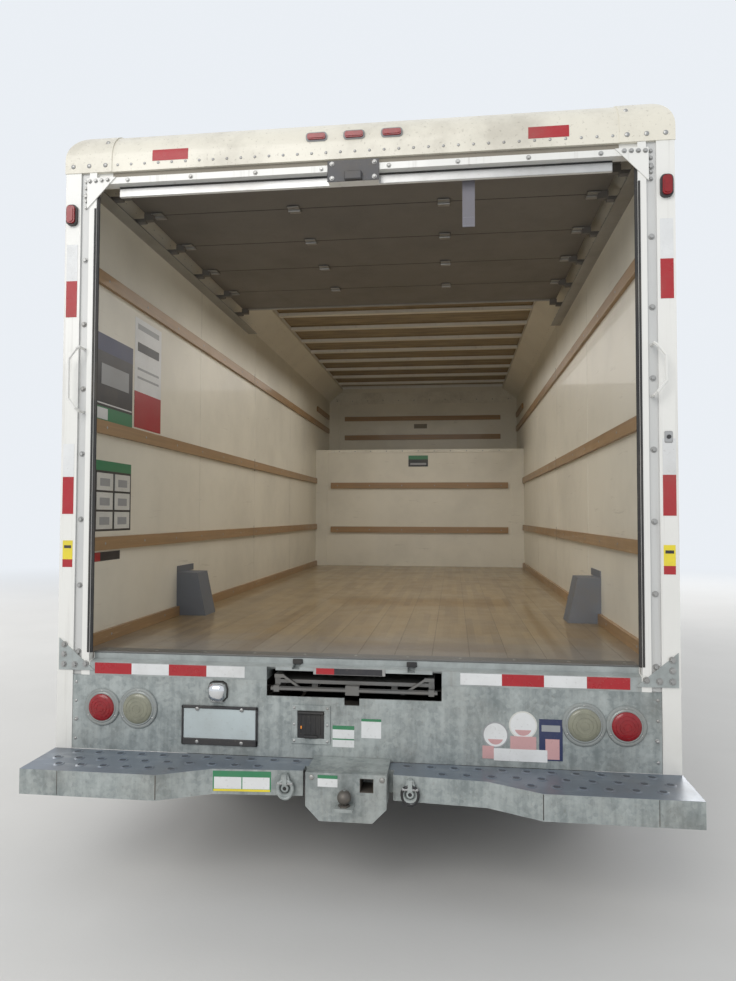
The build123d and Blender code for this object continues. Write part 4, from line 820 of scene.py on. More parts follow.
    def bolt(self, centre: Point, axis: Point, radius: float, height: float) -> "Piece":
        """Adds a hexagon head on a washer."""
        washer = ((-0.001, 0), (-0.001, radius * 1.45), (height * 0.3, radius * 1.35), (height * 0.3, 0))
        self.lathe(centre, axis, washer, 18)
        rows = ((height * 0.2, 0), (height * 0.2, radius), (height * 0.85, radius), (height, radius * 0.8), (height, 0))
        return self.lathe(centre, axis, rows, 6)

    def made(self, *replaced: str, crease: float = 32.0) -> bpy.types.Object:
        """Turns the faces into an object that rides on its body.

        Args:
            replaced: The nodes that it stands for.
            crease: Angle over which an edge stays sharp, in degrees.

        Returns:
            The object.
        """
        shift = Vector((0, REAR_FACE, 0))
        mesh = bpy.data.meshes.new(self.name)
        mesh.from_pydata([p + shift for p in self.points], [], self.faces)
        for finish in self.finishes:
            mesh.materials.append(finish.build())
        mesh.polygons.foreach_set("material_index", self.marks)
        mesh.polygons.foreach_set("use_smooth", [True] * len(self.faces))
        shape = bmesh.new()
        shape.from_mesh(mesh)
        bmesh.ops.recalc_face_normals(shape, faces=shape.faces)
        shape.to_mesh(mesh)
        shape.free()
        mesh.set_sharp_from_angle(angle=math.radians(crease))
        made = linked(self.name, mesh)
        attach(made, self.body)
        if replaced:
            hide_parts(*replaced)
        log.info("%s: %d faces on %s", self.name, len(self.faces), self.body)
        return made


def linked(name: str, data: bpy.types.ID) -> bpy.types.Object:
    """Makes an object of some data and links it to the scene."""
    made = bpy.data.objects.new(name, data)
    bpy.context.scene.collection.objects.link(made)
    return made


def spread(low: float, high: float, pitch: float) -> list[float]:
    """Even places from low to high, about a pitch apart."""
    count = max(1, round((high - low) / pitch))
    return [low + (high - low) * step / count for step in range(count + 1)]


def arc(centre: Pair, radius: float, start: float, end: float, steps: int) -> list[Pair]:
    """Points of an arc, with its angles in degrees."""
    turns = [math.radians(start + (end - start) * step / steps) for step in range(steps + 1)]
    return [(centre[0] + radius * math.cos(t), centre[1] + radius * math.sin(t)) for t in turns]


Field = tuple[Vinyl, float, float, float, float]
REARWARD: Point = (0, -1, 0)
UPWARD: Point = (0, 0, 1)
DOWNWARD: Point = (0, 0, -1)


@dataclass
class Studio:
    """Pale floor, soft lamps, and the camera of the photograph."""

    place: Point = (0.3919, -6.4501, 1.458)
    yaw: float = 0.1195
    pitch: float = 0.0349
    roll: float = 0.0031
    lens: float = 26.06
    floor_reach: float = 60.0
    fade: Pair = (5.5, 17.0)
    sky: float = 0.72
    backdrop: float = 0.92
    backdrop_colour: Colour = (0.90, 0.94, 0.99)
    lamps: tuple[tuple[str, Point, Point, Pair, float], ...] = (
        ("lamp_rear", (-3.5, -13.0, 7.5), (0.0, -1.0, 1.4), (7.0, 7.0), 640.0),
        ("lamp_inside", (0.0, -0.9, 2.78), (0.0, -0.88, 0.0), (1.7, 3.6), 26.0),
        ("lamp_left", (-12.0, 2.0, 8.0), (0.0, 0.0, 1.5), (8.0, 8.0), 700.0),
        ("lamp_front", (7.0, 12.0, 7.0), (0.0, 2.0, 1.3), (7.0, 7.0), 650.0),
    )

    def camera(self) -> None:
        """Places the camera where the photograph was taken."""
        data = bpy.data.cameras.new("camera")
        data.lens = self.lens
        data.sensor_width = 36.0
        data.sensor_fit = "AUTO"
        view = linked("camera", data)
        ahead = Vector((
            -math.sin(self.yaw) * math.cos(self.pitch),
            math.cos(self.yaw) * math.cos(self.pitch),
            math.sin(self.pitch),
        ))
        right = Vector((math.cos(self.yaw), math.sin(self.yaw), 0))
        up = right.cross(ahead)
        level = right * math.cos(self.roll) + up * math.sin(self.roll)
        rise = up * math.cos(self.roll) - right * math.sin(self.roll)
        turn = Matrix((level, rise, -ahead)).transposed().to_4x4()
        view.matrix_world = Matrix.Translation(self.place) @ turn
        bpy.context.scene.camera = view

    def floor(self) -> None:
        """Pale floor under the truck."""
        reach = self.floor_reach
        mesh = bpy.data.meshes.new("floor")
        corners = [(-reach, -reach, 0), (reach, -reach, 0), (reach, reach, 0), (-reach, reach, 0)]
        mesh.from_pydata(corners, [], [(0, 1, 2, 3)])
        mesh.materials.append(self.floor_material())
        plane = linked("floor", mesh)

    def floor_material(self) -> bpy.types.Material:
        """Pale screed near the truck that fades into the backdrop far out."""
        material = bpy.data.materials.new("studio_floor")
        material.use_nodes = True
        g = Graph(material.node_tree)
        tone = g.mix(g.noise(0.9, 5.0, rough=0.6), (0.57, 0.565, 0.55), (0.65, 0.645, 0.63))
        normal = g.bump(g.noise(60.0, 2.0), 0.0004)
        screed = g.node("ShaderNodeBsdfPrincipled", {}, {"Base Color": tone, "Roughness": 0.8, "Normal": normal})
        far = g.node("ShaderNodeEmission", {}, {"Color": (*self.backdrop_colour, 1.0), "Strength": self.backdrop})
        share = g.span((g.x * g.x + g.y * g.y).alone("SQRT"), *self.fade)
        both = g.node("ShaderNodeMixShader", {}, {0: share, 1: screed, 2: far})
        g.node("ShaderNodeOutputMaterial", {}, {"Surface": both})
        return material

    def light(self) -> None:
        """Even pale world and large soft lamps."""
        world = bpy.data.worlds.new("studio")
        bpy.context.scene.world = world
        world.use_nodes = True
        g = Graph(world.node_tree)
        camera = g.node("ShaderNodeLightPath", outlet="Is Camera Ray")
        rays = camera.socket.node.outputs
        shown = camera.most(Wire(g, rays["Is Glossy Ray"])).most(Wire(g, rays["Is Transmission Ray"]))
        colour = g.mix(shown, (0.93, 0.96, 1.0), self.backdrop_colour)
        strength = shown * (self.backdrop - self.sky) + self.sky
        sky = g.node("ShaderNodeBackground", {}, {"Color": colour, "Strength": strength})
        g.node("ShaderNodeOutputWorld", {}, {"Surface": sky})
        for name, place, aim, size, power in self.lamps:
            data = bpy.data.lights.new(name, "AREA")
            data.shape = "RECTANGLE"
            data.size, data.size_y = size
            data.energy = power
            data.color = (1.0, 0.975, 0.94)
            lamp = linked(name, data)
            lamp.location = place
            lamp.visible_camera = False
            lamp.rotation_euler = (Vector(aim) - Vector(place)).to_track_quat("-Z", "Y").to_euler()

    def build(self) -> None:
        """Sets the whole studio."""
        self.camera()
        self.floor()
        self.light()
        bpy.context.scene.view_settings.view_transform = "Standard"


NODE_FINISHES: dict[str, Finish] = {
    "deck": DECK_BOARDS, "side_wall_left": BOX_WHITE, "side_wall_right": BOX_WHITE, "front_wall": BOX_WHITE,
    "attic_nose": BOX_WHITE, "roof": BOX_WHITE, "slats": SLAT_WOOD, "arch_boxes": WHEEL_BOX,
    "rear_frame": FRAME_WHITE, "roof_header": CREAM_METAL, "corner_caps": CREAM_METAL, "rear_panel": ZINC,
    "rear_lamps": GREY_PLATE, "step_bumper": STEP_ZINC, "hitch": ZINC, "frame": CHASSIS, "rear_axle": IRON,
    "engine": IRON, "fuel_tank": CHASSIS, "exhaust": IRON, "underframe": CHASSIS, "ramp": RAMP_METAL_SHADED,
    "mud_flaps": SEAL, "rollup_door": DOOR_GREY_SHADED, "door_tracks": BARE_METAL, "cab_shell": CAB_WHITE,
    "door_left": CAB_WHITE, "door_right": CAB_WHITE, "door_glass_left": PANE, "door_glass_right": PANE,
    "hood": CAB_WHITE, "windshield": PANE, "grille": BLACK, "headlamps": CLEAR_LENS, "front_bumper": BLACK,
    "dashboard": DASH, "steering_wheel": DASH, "seats": CLOTH, "knuckle_left": IRON, "knuckle_right": IRON,
    "rim_front_left": RIM, "rim_front_right": RIM, "rims_rear_left": RIM, "rims_rear_right": RIM,
    "tyre_front_left": TYRE, "tyre_front_right": TYRE, "tyres_rear_left": TYRE, "tyres_rear_right": TYRE,
    "pull_strap": WEBBING,
}


def dress_nodes() -> None:
    """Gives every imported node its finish."""
    for name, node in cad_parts.items():
        material = NODE_FINISHES.get(name, FRAME_WHITE).build()
        node.data.materials.clear()
        node.data.materials.append(material)


@dataclass
class RearFrame:
    """Fasteners, tape, blank stickers and latch plate of the rear posts and header, with a metal lip and strips of
    painted shade on the jambs and under the header.
    """

    groove: float = 1.1465
    groove_deep: float = 0.009
    roof_top: float = 3.100
    curve: float = 0.150

    def curve_y(self, z: float) -> float:
        """How far forward the rounded header lies at a height."""
        rise = max(0.0, z - (self.roof_top - self.curve))
        return self.curve - math.sqrt(max(0.0, self.curve**2 - rise**2))

    def on_header(self, piece: Piece, x: Pair, z: Pair, proud: float) -> None:
        """Adds a strip that follows the rounded header.

        Args:
            piece: The piece that it joins.
            x: Its ends across the truck.
            z: Its lower and upper edge.
            proud: How far it stands out.
        """
        levels = [z[0] + (z[1] - z[0]) * step / 6 for step in range(7)]
        outline = [(self.curve_y(level) - proud, level) for level in levels]
        outline += [(self.curve_y(level) + 0.001, level) for level in reversed(levels)]
        piece.prism(outline, 0, *x)

    def fasteners(self) -> None:
        """Rivets and bolts of the header, caps, posts and gussets."""
        rivets = Piece("rear_rivets", FASTENER, slot="box_white")
        row_y = self.curve_y(2.925)
        rivets.row((-1.005, row_y, 2.925), (1.005, row_y, 2.925), 0.060, REARWARD, (0.0062, 0.0035))
        for side in (-1, 1):
            for x, z in ((1.058, 2.925), (1.058, 3.03), (1.200, 2.925), (1.13, 2.925)):
                rivets.dome((side * x, self.curve_y(z) - 0.003, z), REARWARD, 0.010, 0.005)
            for y, radius, height, spots in (
                (self.groove_deep, 0.0085, 0.009, [(self.groove, z) for z in spread(0.62, 2.80, 0.285)]),
                (-0.005, 0.0068, 0.007, [(1.124, 2.858), (1.098, 2.859), (1.072, 2.860), (1.046, 2.861)]),
                (self.groove_deep, 0.0062, 0.007, [(self.groove, z) for z in spread(2.752, 2.862, 0.0275)]),
                (-0.005, 0.0090, 0.009, [
                    (1.202, 0.842), (1.155, 0.842), (1.108, 0.845), (1.202, 0.883), (1.202, 0.922),
                ]),
            ):
                for x, z in spots:
                    rivets.bolt((side * x, y, z), REARWARD, radius, height)
        for x in spread(-0.96, 0.96, 0.262):
            rivets.bolt((x, 0.0, 2.8585), REARWARD, 0.0070, 0.006)
        rivets.made()

    def tape(self) -> None:
        """Red and white tape of posts and header."""
        red, white = Vinyl.RED.tape(), Vinyl.WHITE.tape()
        strips = Piece("rear_tape", red, slot="box_white")
        self.on_header(strips, (-0.853, -0.699), (2.933, 2.980), 0.0012)
        self.on_header(strips, (0.685, 0.841), (2.933, 2.980), 0.0012)
        for side in (-1, 1):
            x = sorted((side * 1.176, side * 1.224))
            for low, high, top in ((2.285, 2.438, 2.593), (1.460, 1.614, 1.752)):
                strips.use(red).box((x[0], -0.0012, low), (x[1], 0.001, high))
                strips.use(white).box((x[0], -0.0011, high), (x[1], 0.001, top))
        strips.made()

    def stickers(self) -> None:
        """Blank stickers, the lock plate and the dark latch plate."""
        small = Piece("post_stickers", Vinyl.YELLOW.finish(), slot="box_white")
        for side in (-1, 1):
            x = sorted((side * 1.176, side * 1.219))
            small.use(Vinyl.YELLOW).box((x[0], -0.001, 1.272), (x[1], 0.001, 1.350))
            small.use(Vinyl.RED).box((x[0], -0.0011, 1.240), (x[1], 0.001, 1.272))
            small.use(Vinyl.BLACK).box((x[0] + 0.006, -0.0014, 1.318), (x[1] - 0.006, 0.001, 1.330))
        small.use(BARE_METAL).box((1.183, -0.006, 1.735), (1.213, 0.001, 1.779), 0.003)
        small.use(BLACK).disc((1.198, -0.006, 1.757), REARWARD, 0.008, 0.004, 16)
        small.made()
        latch = Piece("latch_plate", GREY_PLATE_DARK, slot="trim_black")
        latch.box((-0.111, -0.0085, 2.799), (0.099, -0.0055, 2.887), 0.002)
        latch.box((-0.040, -0.024, 2.800), (0.030, -0.008, 2.836), 0.004)
        latch.use(FASTENER)
        for x, z in ((-0.092, 2.872), (0.080, 2.872), (-0.092, 2.813), (0.080, 2.813)):
            latch.bolt((x, -0.008, z), REARWARD, 0.007, 0.007)
        latch.made()

    def shade_strips_and_lip(self) -> None:
        """Black strips on the jambs, and a dark line and band under the rounded header, all painted shade; and the
        header's metal lip.
        """
        seal = Piece("rear_shade_strips_and_lip", SEAL, slot="rubber")
        # Painted shade: black strips that stand in for the shaded inner faces of the jambs.
        seal.both((1.0850, 0.006, 0.8895), (1.0985, 0.014, 2.843), 0.002)
        seal.both((1.0965, -0.003, 0.892), (1.1045, 0.008, 2.744), 0.001)
        # Painted shade: a thin dark line above the lip, and a dark band in the recess under the rounded header.
        seal.box((-1.01, 0.0310, 2.8370), (1.01, 0.0345, 2.8440), 0.001)
        seal.use(GAP_SHADE).box((-1.03, 0.0125, 2.8735), (1.03, 0.0145, 2.896))
        seal.use(BARE_METAL).box((-1.01, 0.0320, 2.8025), (1.01, 0.0345, 2.8360), 0.001)
        seal.made()

    def build(self) -> None:
        """Builds all of it."""
        self.fasteners()
        self.tape()
        self.stickers()
        self.shade_strips_and_lip()


@dataclass
class SillAndPanel:
    """Tape, blank plate, socket, rivets and blank stickers below the floor."""

    face: float = 0.002
    tape_z: Pair = (0.807, 0.851)
    tape_block: float = 0.158

    def tape(self) -> None:
        """Striped tape on the front of the sill, the blank strip over the slot, and painted shade in the hook holes."""
        strips = Piece("sill_tape", Vinyl.RED.tape(), slot="box_white")
        low, high = self.tape_z
        for start, colours in ((-1.069, (Vinyl.RED, Vinyl.WHITE)), (0.418, (Vinyl.WHITE, Vinyl.RED))):
            for step in range(4):
                x = start + self.tape_block * step
                strips.use(colours[step % 2].tape()).box((x, -0.0012, low), (x + self.tape_block, 0.001, high))
        strips.use(FASTENER).box((-0.158, -0.0030, 0.829), (0.128, 0.002, 0.8560), 0.001)
        strips.use(Vinyl.BLACK).box((-0.146, -0.0040, 0.831), (0.116, -0.0028, 0.8545))
        strips.use(Vinyl.RED).box((-0.146, -0.0043, 0.831), (-0.074, -0.0028, 0.8545))
        # Black blocks in the two hook holes at the top of the sill: painted shade.
        strips.use(SEAL)
        for x in (-0.229, 0.229):
            strips.box((x - 0.020, 0.0320, 0.8600), (x + 0.020, 0.0440, 0.8800), 0.002)
        strips.made()

    def plate(self) -> None:
        """Blank licence plate in its black frame, under a plated lamp."""
        plate = Piece("licence_plate", PLATE_BLUE, slot="box_white")
        x0, x1, z0, z1 = -0.695, -0.382, 0.537, 0.692
        y = self.face
        plate.box((x0 + 0.004, y - 0.005, z0 + 0.003), (x1 - 0.004, y - 0.003, z1 - 0.003), 0.0008)
        plate.use(BLACK).window((x0, x1), (z0, z1), (y - 0.010, y + 0.001), (0.026, 0.011, 0.008), 0.0025)
        plate.use(FASTENER)
        for x in (x0 + 0.065, x1 - 0.065):
            plate.dome((x, y - 0.008, z1 - 0.012), REARWARD, 0.0085, 0.004)
            plate.dome((x, y - 0.008, z0 + 0.012), REARWARD, 0.0085, 0.004)
        plate.made()

    def socket(self) -> None:
        """Trailer socket on its plate."""
        socket = Piece("trailer_socket", ZINC, slot="trim_black")
        x0, x1, z0, z1 = -0.244, -0.089, 0.557, 0.708
        socket.window((x0, x1), (z0, z1), (-0.0045, 0.003), (0.022, 0.022, 0.024), 0.0015, lap=False)
        socket.use(SEAL).box((x0 + 0.024, -0.001, z0 + 0.022), (x1 - 0.024, 0.003, z1 - 0.022))
        for step in range(5):
            x = x0 + 0.031 + 0.0195 * step
            socket.box((x, -0.003, z0 + 0.036), (x + 0.008, 0.000, z1 - 0.034), 0.0015)
        socket.rod((x0 + 0.028, -0.006, z1 - 0.030), (x1 - 0.028, -0.006, z1 - 0.030), 0.005, 12)
        socket.box((x0 + 0.050, -0.012, z0 + 0.024), (x1 - 0.050, -0.002, z0 + 0.034), 0.003)
        socket.use(AMBER_LENS).box((x0 + 0.036, -0.004, z0 + 0.058), (x0 + 0.042, -0.002, z0 + 0.070), 0.001)
        socket.use(FASTENER)
        for x in (x0 + 0.011, x1 - 0.011):
            for z in (z0 + 0.011, (z0 + z1) / 2, z1 - 0.011):
                socket.dome((x, -0.0045, z), REARWARD, 0.0055, 0.003)
        socket.made()

    def stickers(self) -> None:
        """Blank stickers on the panel."""
        marks = Piece("panel_stickers", Vinyl.WHITE.finish(), slot="box_white")
        y = self.face
        rows = (
            (Vinyl.WHITE, -0.080, 0.006, 0.549, 0.632), (Vinyl.GREEN, -0.080, 0.006, 0.617, 0.632),
            (Vinyl.GREEN, -0.080, 0.006, 0.577, 0.582), (Vinyl.WHITE, 0.034, 0.112, 0.588, 0.662),
            (Vinyl.GREEN, 0.034, 0.112, 0.652, 0.662), (Vinyl.NAVY, 0.715, 0.802, 0.531, 0.686),
            (Vinyl.PINK, 0.738, 0.790, 0.536, 0.612), (Vinyl.GREY, 0.724, 0.793, 0.640, 0.664),
            (Vinyl.PINK, 0.502, 0.545, 0.530, 0.578), (Vinyl.PINK, 0.607, 0.704, 0.562, 0.618),
            (Vinyl.WHITE, 0.545, 0.745, 0.524, 0.570),
        )
        for layer, (colour, x0, x1, z0, z1) in enumerate(rows):
            proud = 0.0006 + 0.0002 * layer
            marks.use(colour).box((x0, y - proud, z0), (x1, y + 0.001, z1))
        for x, z, radius, edge in ((0.551, 0.620, 0.049, Vinyl.GREY), (0.655, 0.660, 0.053, Vinyl.PAPER)):
            for colour, share, proud in ((edge, 1.0, 0.0010), (Vinyl.WHITE, 0.90, 0.0013)):
                marks.use(colour).disc((x, y, z), REARWARD, radius * share, proud, 40)
            band = [(x + u * radius, z + v * radius) for u, v in arc((0.0, -0.12), 0.62, 200, 340, 14)]
            marks.use(Vinyl.PINK).prism(band, 1, y - 0.0016, y)
        marks.made()

    def rivets(self) -> None:
        """Rivets down the two side edges of the panel."""
        heads = Piece("panel_rivets", FASTENER, slot="galvanised")
        for side in (-1, 1):
            x = side * 1.150
            heads.row((x, self.face, 0.54), (x, self.face, 0.77), 0.077, REARWARD, (0.0065, 0.0035))
        heads.made()

    def build(self) -> None:
        """Builds all of it."""
        self.tape()
        self.plate()
        self.socket()
        self.stickers()
        self.rivets()


@dataclass
class StepBumper:
    """Dimples of the tread, round ball, hitch fittings, chain rings and a blank sticker."""

    top: float = 0.499
    ball: float = 0.0257
    rim: tuple[Pair, ...] = ((0.170, -0.130), (0.513, -0.155), (0.700, -0.245), (1.235, -0.245))
    first: float = 0.215
    last: float = 1.190
    pitch: float = 0.090
    backs: tuple[float, ...] = (0.038, 0.108, 0.178)
    margin: float = 0.030
    seams: tuple[tuple[float, ...], ...] = ((0.700, 0.0016, -0.2462, 0.0005), (1.085, 0.001, -0.2457, 0.0))

    def edge_y(self, x: float) -> float:
        """Where the rear edge of the tread lies at a place across the truck."""
        x = abs(x)
        for (x0, y0), (x1, y1) in zip(self.rim, self.rim[1:]):
            if x <= x1:
                return y0 + (y1 - y0) * max(0.0, x - x0) / (x1 - x0)
        return self.rim[-1][1]

    def dimples(self) -> None:
        """Staggered rows of raised dimples with a dark disc of painted shade in each mouth, and the seams of the folded
        face.
        """
        tread = Piece("tread_dimples", STEP_ZINC, slot="galvanised")
        ring = ((-0.0005, 0.0125), (-0.0005, 0.0230), (0.0012, 0.0195), (0.0030, 0.0152), (0.0024, 0.0128))
        for side in (-1, 1):
            for row, back in enumerate(self.backs):
                for step in range(int(self.last / self.pitch)):
                    x = self.first + self.pitch * step + self.pitch / 2 * (row % 2)
                    if x > self.last or -self.edge_y(x) < back + self.margin:
                        continue
                    centre = (side * x, -back, self.top)
                    tread.use(STEP_ZINC).lathe(centre, UPWARD, ring, 18)
                    # A dark disc in each dimple's mouth, painted shade of the hole.
                    tread.use(DIMPLE).disc(centre, UPWARD, 0.0130, 0.0009, 14, sunk=0.0005)
        tread.use(CHASSIS)
        for side in (-1, 1):
            for at, half, back, edge in self.seams:
                tread.box((side * at - half, back, 0.409), (side * at + half, -0.2440, 0.497), edge)
        tread.made()

    def hitch(self) -> None:
        """Ball with its nut, rivets, receiver collar, blank sticker and chain rings."""
        ball = Piece("hitch_ball", BALL_STEEL, slot="galvanised")
        turns = [math.radians(a) for a in range(12, 156, 9)]
        rows = [(-0.0262, 0), *((-self.ball * math.cos(t), self.ball * math.sin(t)) for t in turns)]
        rows += [(0.0243, 0.0085), (0.0247, 0)]
        ball.lathe((0.0, -0.214, 0.440), UPWARD, rows, 40)
        nut = ((-0.001, 0), (-0.001, 0.022), (0.006, 0.022), (0.008, 0.016), (0.008, 0))
        ball.lathe((0.0, -0.214, 0.4085), UPWARD, nut, 6)
        ball.made()
        plate = Piece("hitch_fittings", FASTENER, slot="galvanised")
        for x, z in ((-0.127, 0.494), (0.134, 0.494)):
            plate.dome((x, -0.180, z), REARWARD, 0.0105, 0.005)
        plate.use(CHASSIS)
        plate.window((0.0518, 0.1022), (0.4468, 0.4972), (-0.1795, -0.060), (0.0017, 0.0017, 0.0017))
        plate.box((0.0518, -0.064, 0.4468), (0.1022, -0.060, 0.4972))
        plate.use(Vinyl.WHITE).box((-0.104, -0.1812, 0.462), (-0.030, -0.179, 0.504))
        plate.use(Vinyl.GREEN).box((-0.104, -0.1815, 0.492), (-0.030, -0.179, 0.504))
        plate.made()
        rings = Piece("chain_rings", STEP_ZINC, slot="galvanised")
        for side in (-1, 1):
            x, y, z = side * 0.234, -0.149, 0.436
            path = []
            for turn in (2 * math.pi * i / 40 for i in range(40)):
                reach = 0.030 if math.cos(turn) > 0 else 0.036
                path.append((x + 0.0285 * math.sin(turn), y, z + reach * math.cos(turn)))
            rings.tube(path, 0.0072, 12, closed=True)
            boss = ((-0.020, 0.0075), (-0.020, 0.0145), (0.004, 0.0145), (0.007, 0.0125), (0.007, 0.0075))
            rings.use(STEP_ZINC).lathe((x, y, z + 0.002), REARWARD, boss, 24)
            rings.use(GLOSS_BLACK).disc((x, y, z + 0.002), REARWARD, 0.0075, 0.004, 20, sunk=0.020)
            rings.use(BARE_METAL).box((x - 0.031, y - 0.008, z + 0.014), (x + 0.031, y + 0.008, z + 0.024), 0.003)
            ear = [(x - 0.020, z + 0.022), (x + 0.020, z + 0.022), (x + 0.012, z + 0.052), (x - 0.012, z + 0.052)]
            rings.use(STEP_ZINC).prism(ear, 1, y - 0.003, y + 0.008)
            rings.use(GLOSS_BLACK).disc((x, y - 0.003, z + 0.041), REARWARD, 0.0055, 0.0006, 16)
        rings.made()

    def sticker(self) -> None:
        """Blank green, white and yellow sticker on the folded face, left of the middle."""
        (x0, y0), (x1, y1) = self.rim[0], self.rim[1]
        mark = Piece("bumper_sticker", Vinyl.GREEN.finish(), slot="box_white")
        for colour, low, high, z0, z1, proud in (
            (Vinyl.GREEN, 0.290, 0.511, 0.417, 0.492, 0.0010),
            (Vinyl.WHITE, 0.295, 0.398, 0.426, 0.470, 0.0013),
            (Vinyl.WHITE, 0.402, 0.506, 0.426, 0.470, 0.0013),
            (Vinyl.YELLOW, 0.293, 0.508, 0.417, 0.425, 0.0016),
        ):
            (xa, ya), (xb, yb) = [(-x, y0 + (y1 - y0) * (x - x0) / (x1 - x0)) for x in (low, high)]
            outline = [(xa, ya - proud), (xb, yb - proud), (xb, yb + 0.001), (xa, ya + 0.001)]
            mark.use(colour).prism(outline, 2, z0, z1)
        mark.made()

    def build(self) -> None:
        """Builds all of it."""
        self.dimples()
        self.hitch()
        self.sticker()


@dataclass
class LoadSpace:
    """Screws, rivets, rails, joints and blank signs inside the box."""

    half: float = 1.1685
    front: float = 5.2265
    attic_end: float = 6.100
    floor: float = 0.889
    slat_screws: tuple[float, ...] = (2.5115, 1.8475, 1.3285)

    def fasteners(self) -> None:
        """Screws of the slats and rivets of the coves and rails."""
        screws = Piece("slat_screws", FASTENER, slot="slat_wood")
        head = (0.0065, 0.0022)
        for side in (-1, 1):
            towards = (-side, 0, 0)
            x = side * (self.half - 0.019)
            for z in self.slat_screws:
                screws.row((x, 0.23, z), (x, 5.12, z), 0.408, towards, head)
            z = self.floor + 0.028
            screws.row((x, 0.30, z), (x, 5.1, z), 0.6, towards, head)
        y = self.front - 0.019
        for z in (1.795, 1.296):
            screws.row((-0.92, y, z), (0.92, y, z), 0.368, REARWARD, head)
        screws.made()
        rivets = Piece("lining_rivets", FASTENER, slot="box_white")
        for side in (-1, 1):
            x = side * (self.half - 0.030)
            rivets.row((x, 0.25, 2.924), (x, 6.02, 2.924), 0.105, (-side, 0, 1), (0.0045, 0.0022), 8)
        for reach, pitch, y, z in (
            (1.08, 0.18, self.front - 0.0045, 2.186), (1.07, 0.195, self.attic_end - 0.0065, 2.905),
        ):
            rivets.row((-reach, y, z), (reach, y, z), pitch, REARWARD, (0.0070, 0.0030), 8)
        rivets.made()

    def rails(self) -> None:
        """Top rails of the two end walls, lining joints and the threshold plate."""
        rails = Piece("lining_rails", CREAM_METAL, slot="wall_liner")
        rails.box((-self.half, self.front - 0.005, 2.166), (self.half, self.front + 0.030, 2.2045), 0.002)
        rails.box((-self.half, self.attic_end - 0.007, 2.862), (self.half, self.attic_end + 0.001, 3.009), 0.002)
        for y in (1.46, 2.68, 3.90):
            rails.both((self.half - 0.0010, y - 0.006, 0.945), (self.half + 0.001, y + 0.006, 2.895), 0.0005)
        rails.made()
        joints = Piece("slat_joints", GAP_SHADE, slot="slat_wood")
        for y, z in ((2.597, 2.5115), (2.616, 1.8475), (2.606, 1.3285)):
            joints.both((self.half - 0.0200, y - 0.003, z - 0.048), (self.half - 0.0185, y + 0.003, z + 0.048))
        joints.made()
        # The threshold plate takes the ramp's darkened aluminium, with its painted shade.
        plate = Piece("threshold_plate", RAMP_METAL_SHADED, slot="aluminium")
        plate.box((-1.094, 0.042, 0.884), (1.094, 0.118, 0.8905), 0.001)
        plate.use(FASTENER)
        plate.row((-1.05, 0.082, 0.8900), (1.05, 0.082, 0.8900), 0.21, UPWARD, (0.0070, 0.0020))
        plate.made()

    def sign(self, piece: Piece, y: Pair, z: Pair, rows: Sequence[Field]) -> None:
        """Adds a blank sign to the left wall.

        Args:
            piece: The piece that it joins.
            y: Its ends along the truck.
            z: Its lower and upper edge.
            rows: Colour, then the field's edges as shares of the sign: rear, front, low and high.
        """
        for layer, (colour, ya, yb, za, zb) in enumerate(rows):
            proud = 0.0010 + 0.0003 * layer
            low = (-self.half - 0.001, y[0] + (y[1] - y[0]) * ya, z[0] + (z[1] - z[0]) * za)
            high = (-self.half + proud, y[0] + (y[1] - y[0]) * yb, z[0] + (z[1] - z[0]) * zb)
            piece.use(colour).box(low, high)

    def signs(self) -> None:
        """Blank signs of the left wall, and the small one at the front."""
        board = Piece("wall_signs", Vinyl.BLACK.finish(), slot="box_white")
        self.sign(board, (0.158, 0.513), (1.880, 2.270), (
            (Vinyl.BLACK, 0, 1, 0, 1), (Vinyl.NAVY, 0, 1, 0.80, 1), (Vinyl.GREEN, 0, 1, 0, 0.16),
            (Vinyl.WHITE, 0.03, 0.30, 0.015, 0.145), (Vinyl.GREY, 0.12, 0.88, 0.42, 0.66),
            (Vinyl.WHITE, 0.03, 0.97, 0.19, 0.205),
        ))
        self.sign(board, (0.535, 0.850), (1.890, 2.440), (
            (Vinyl.WHITE, 0, 1, 0, 1), (Vinyl.RED, 0, 1, 0, 0.33), (Vinyl.GREY, 0.1, 0.9, 0.90, 0.95),
            (Vinyl.GREY, 0.1, 0.9, 0.45, 0.47), (Vinyl.GREY, 0.1, 0.9, 0.53, 0.55), (Vinyl.BLACK, 0.1, 0.9, 0.70, 0.78),
        ))
        fields = [(Vinyl.BLACK, 0, 1, 0, 1), (Vinyl.GREEN, 0, 1, 0.86, 1)]
        for column in range(2):
            for row in range(3):
                ya, za = 0.05 + 0.475 * column, 0.03 + 0.275 * row
                fields.append((Vinyl.PAPER, ya, ya + 0.425, za, za + 0.245))
                fields.append((Vinyl.GREY, ya + 0.08, ya + 0.34, za + 0.06, za + 0.17))
        self.sign(board, (0.157, 0.510), (1.383, 1.700), fields)
        self.sign(board, (0.155, 0.405), (1.250, 1.290), ((Vinyl.BLACK, 0, 1, 0, 1), (Vinyl.RED, 0, 0.25, 0, 1)))
        for colour, reach, proud, low, high in (
            (Vinyl.BLACK, 0.110, 0.0060, 2.010, 2.134), (Vinyl.GREEN, 0.110, 0.0064, 2.090, 2.134),
            (Vinyl.GREY, 0.090, 0.0064, 2.028, 2.050),
        ):
            board.use(colour).box((-reach, self.front - proud, low), (reach, self.front + 0.001, high))
        board.use(GAP_SHADE).box((-0.096, self.attic_end - 0.0012, 2.548), (0.067, self.attic_end + 0.001, 2.604))
        board.made()

    def build(self) -> None:
        """Builds all of it."""
        self.fasteners()
        self.rails()
        self.signs()


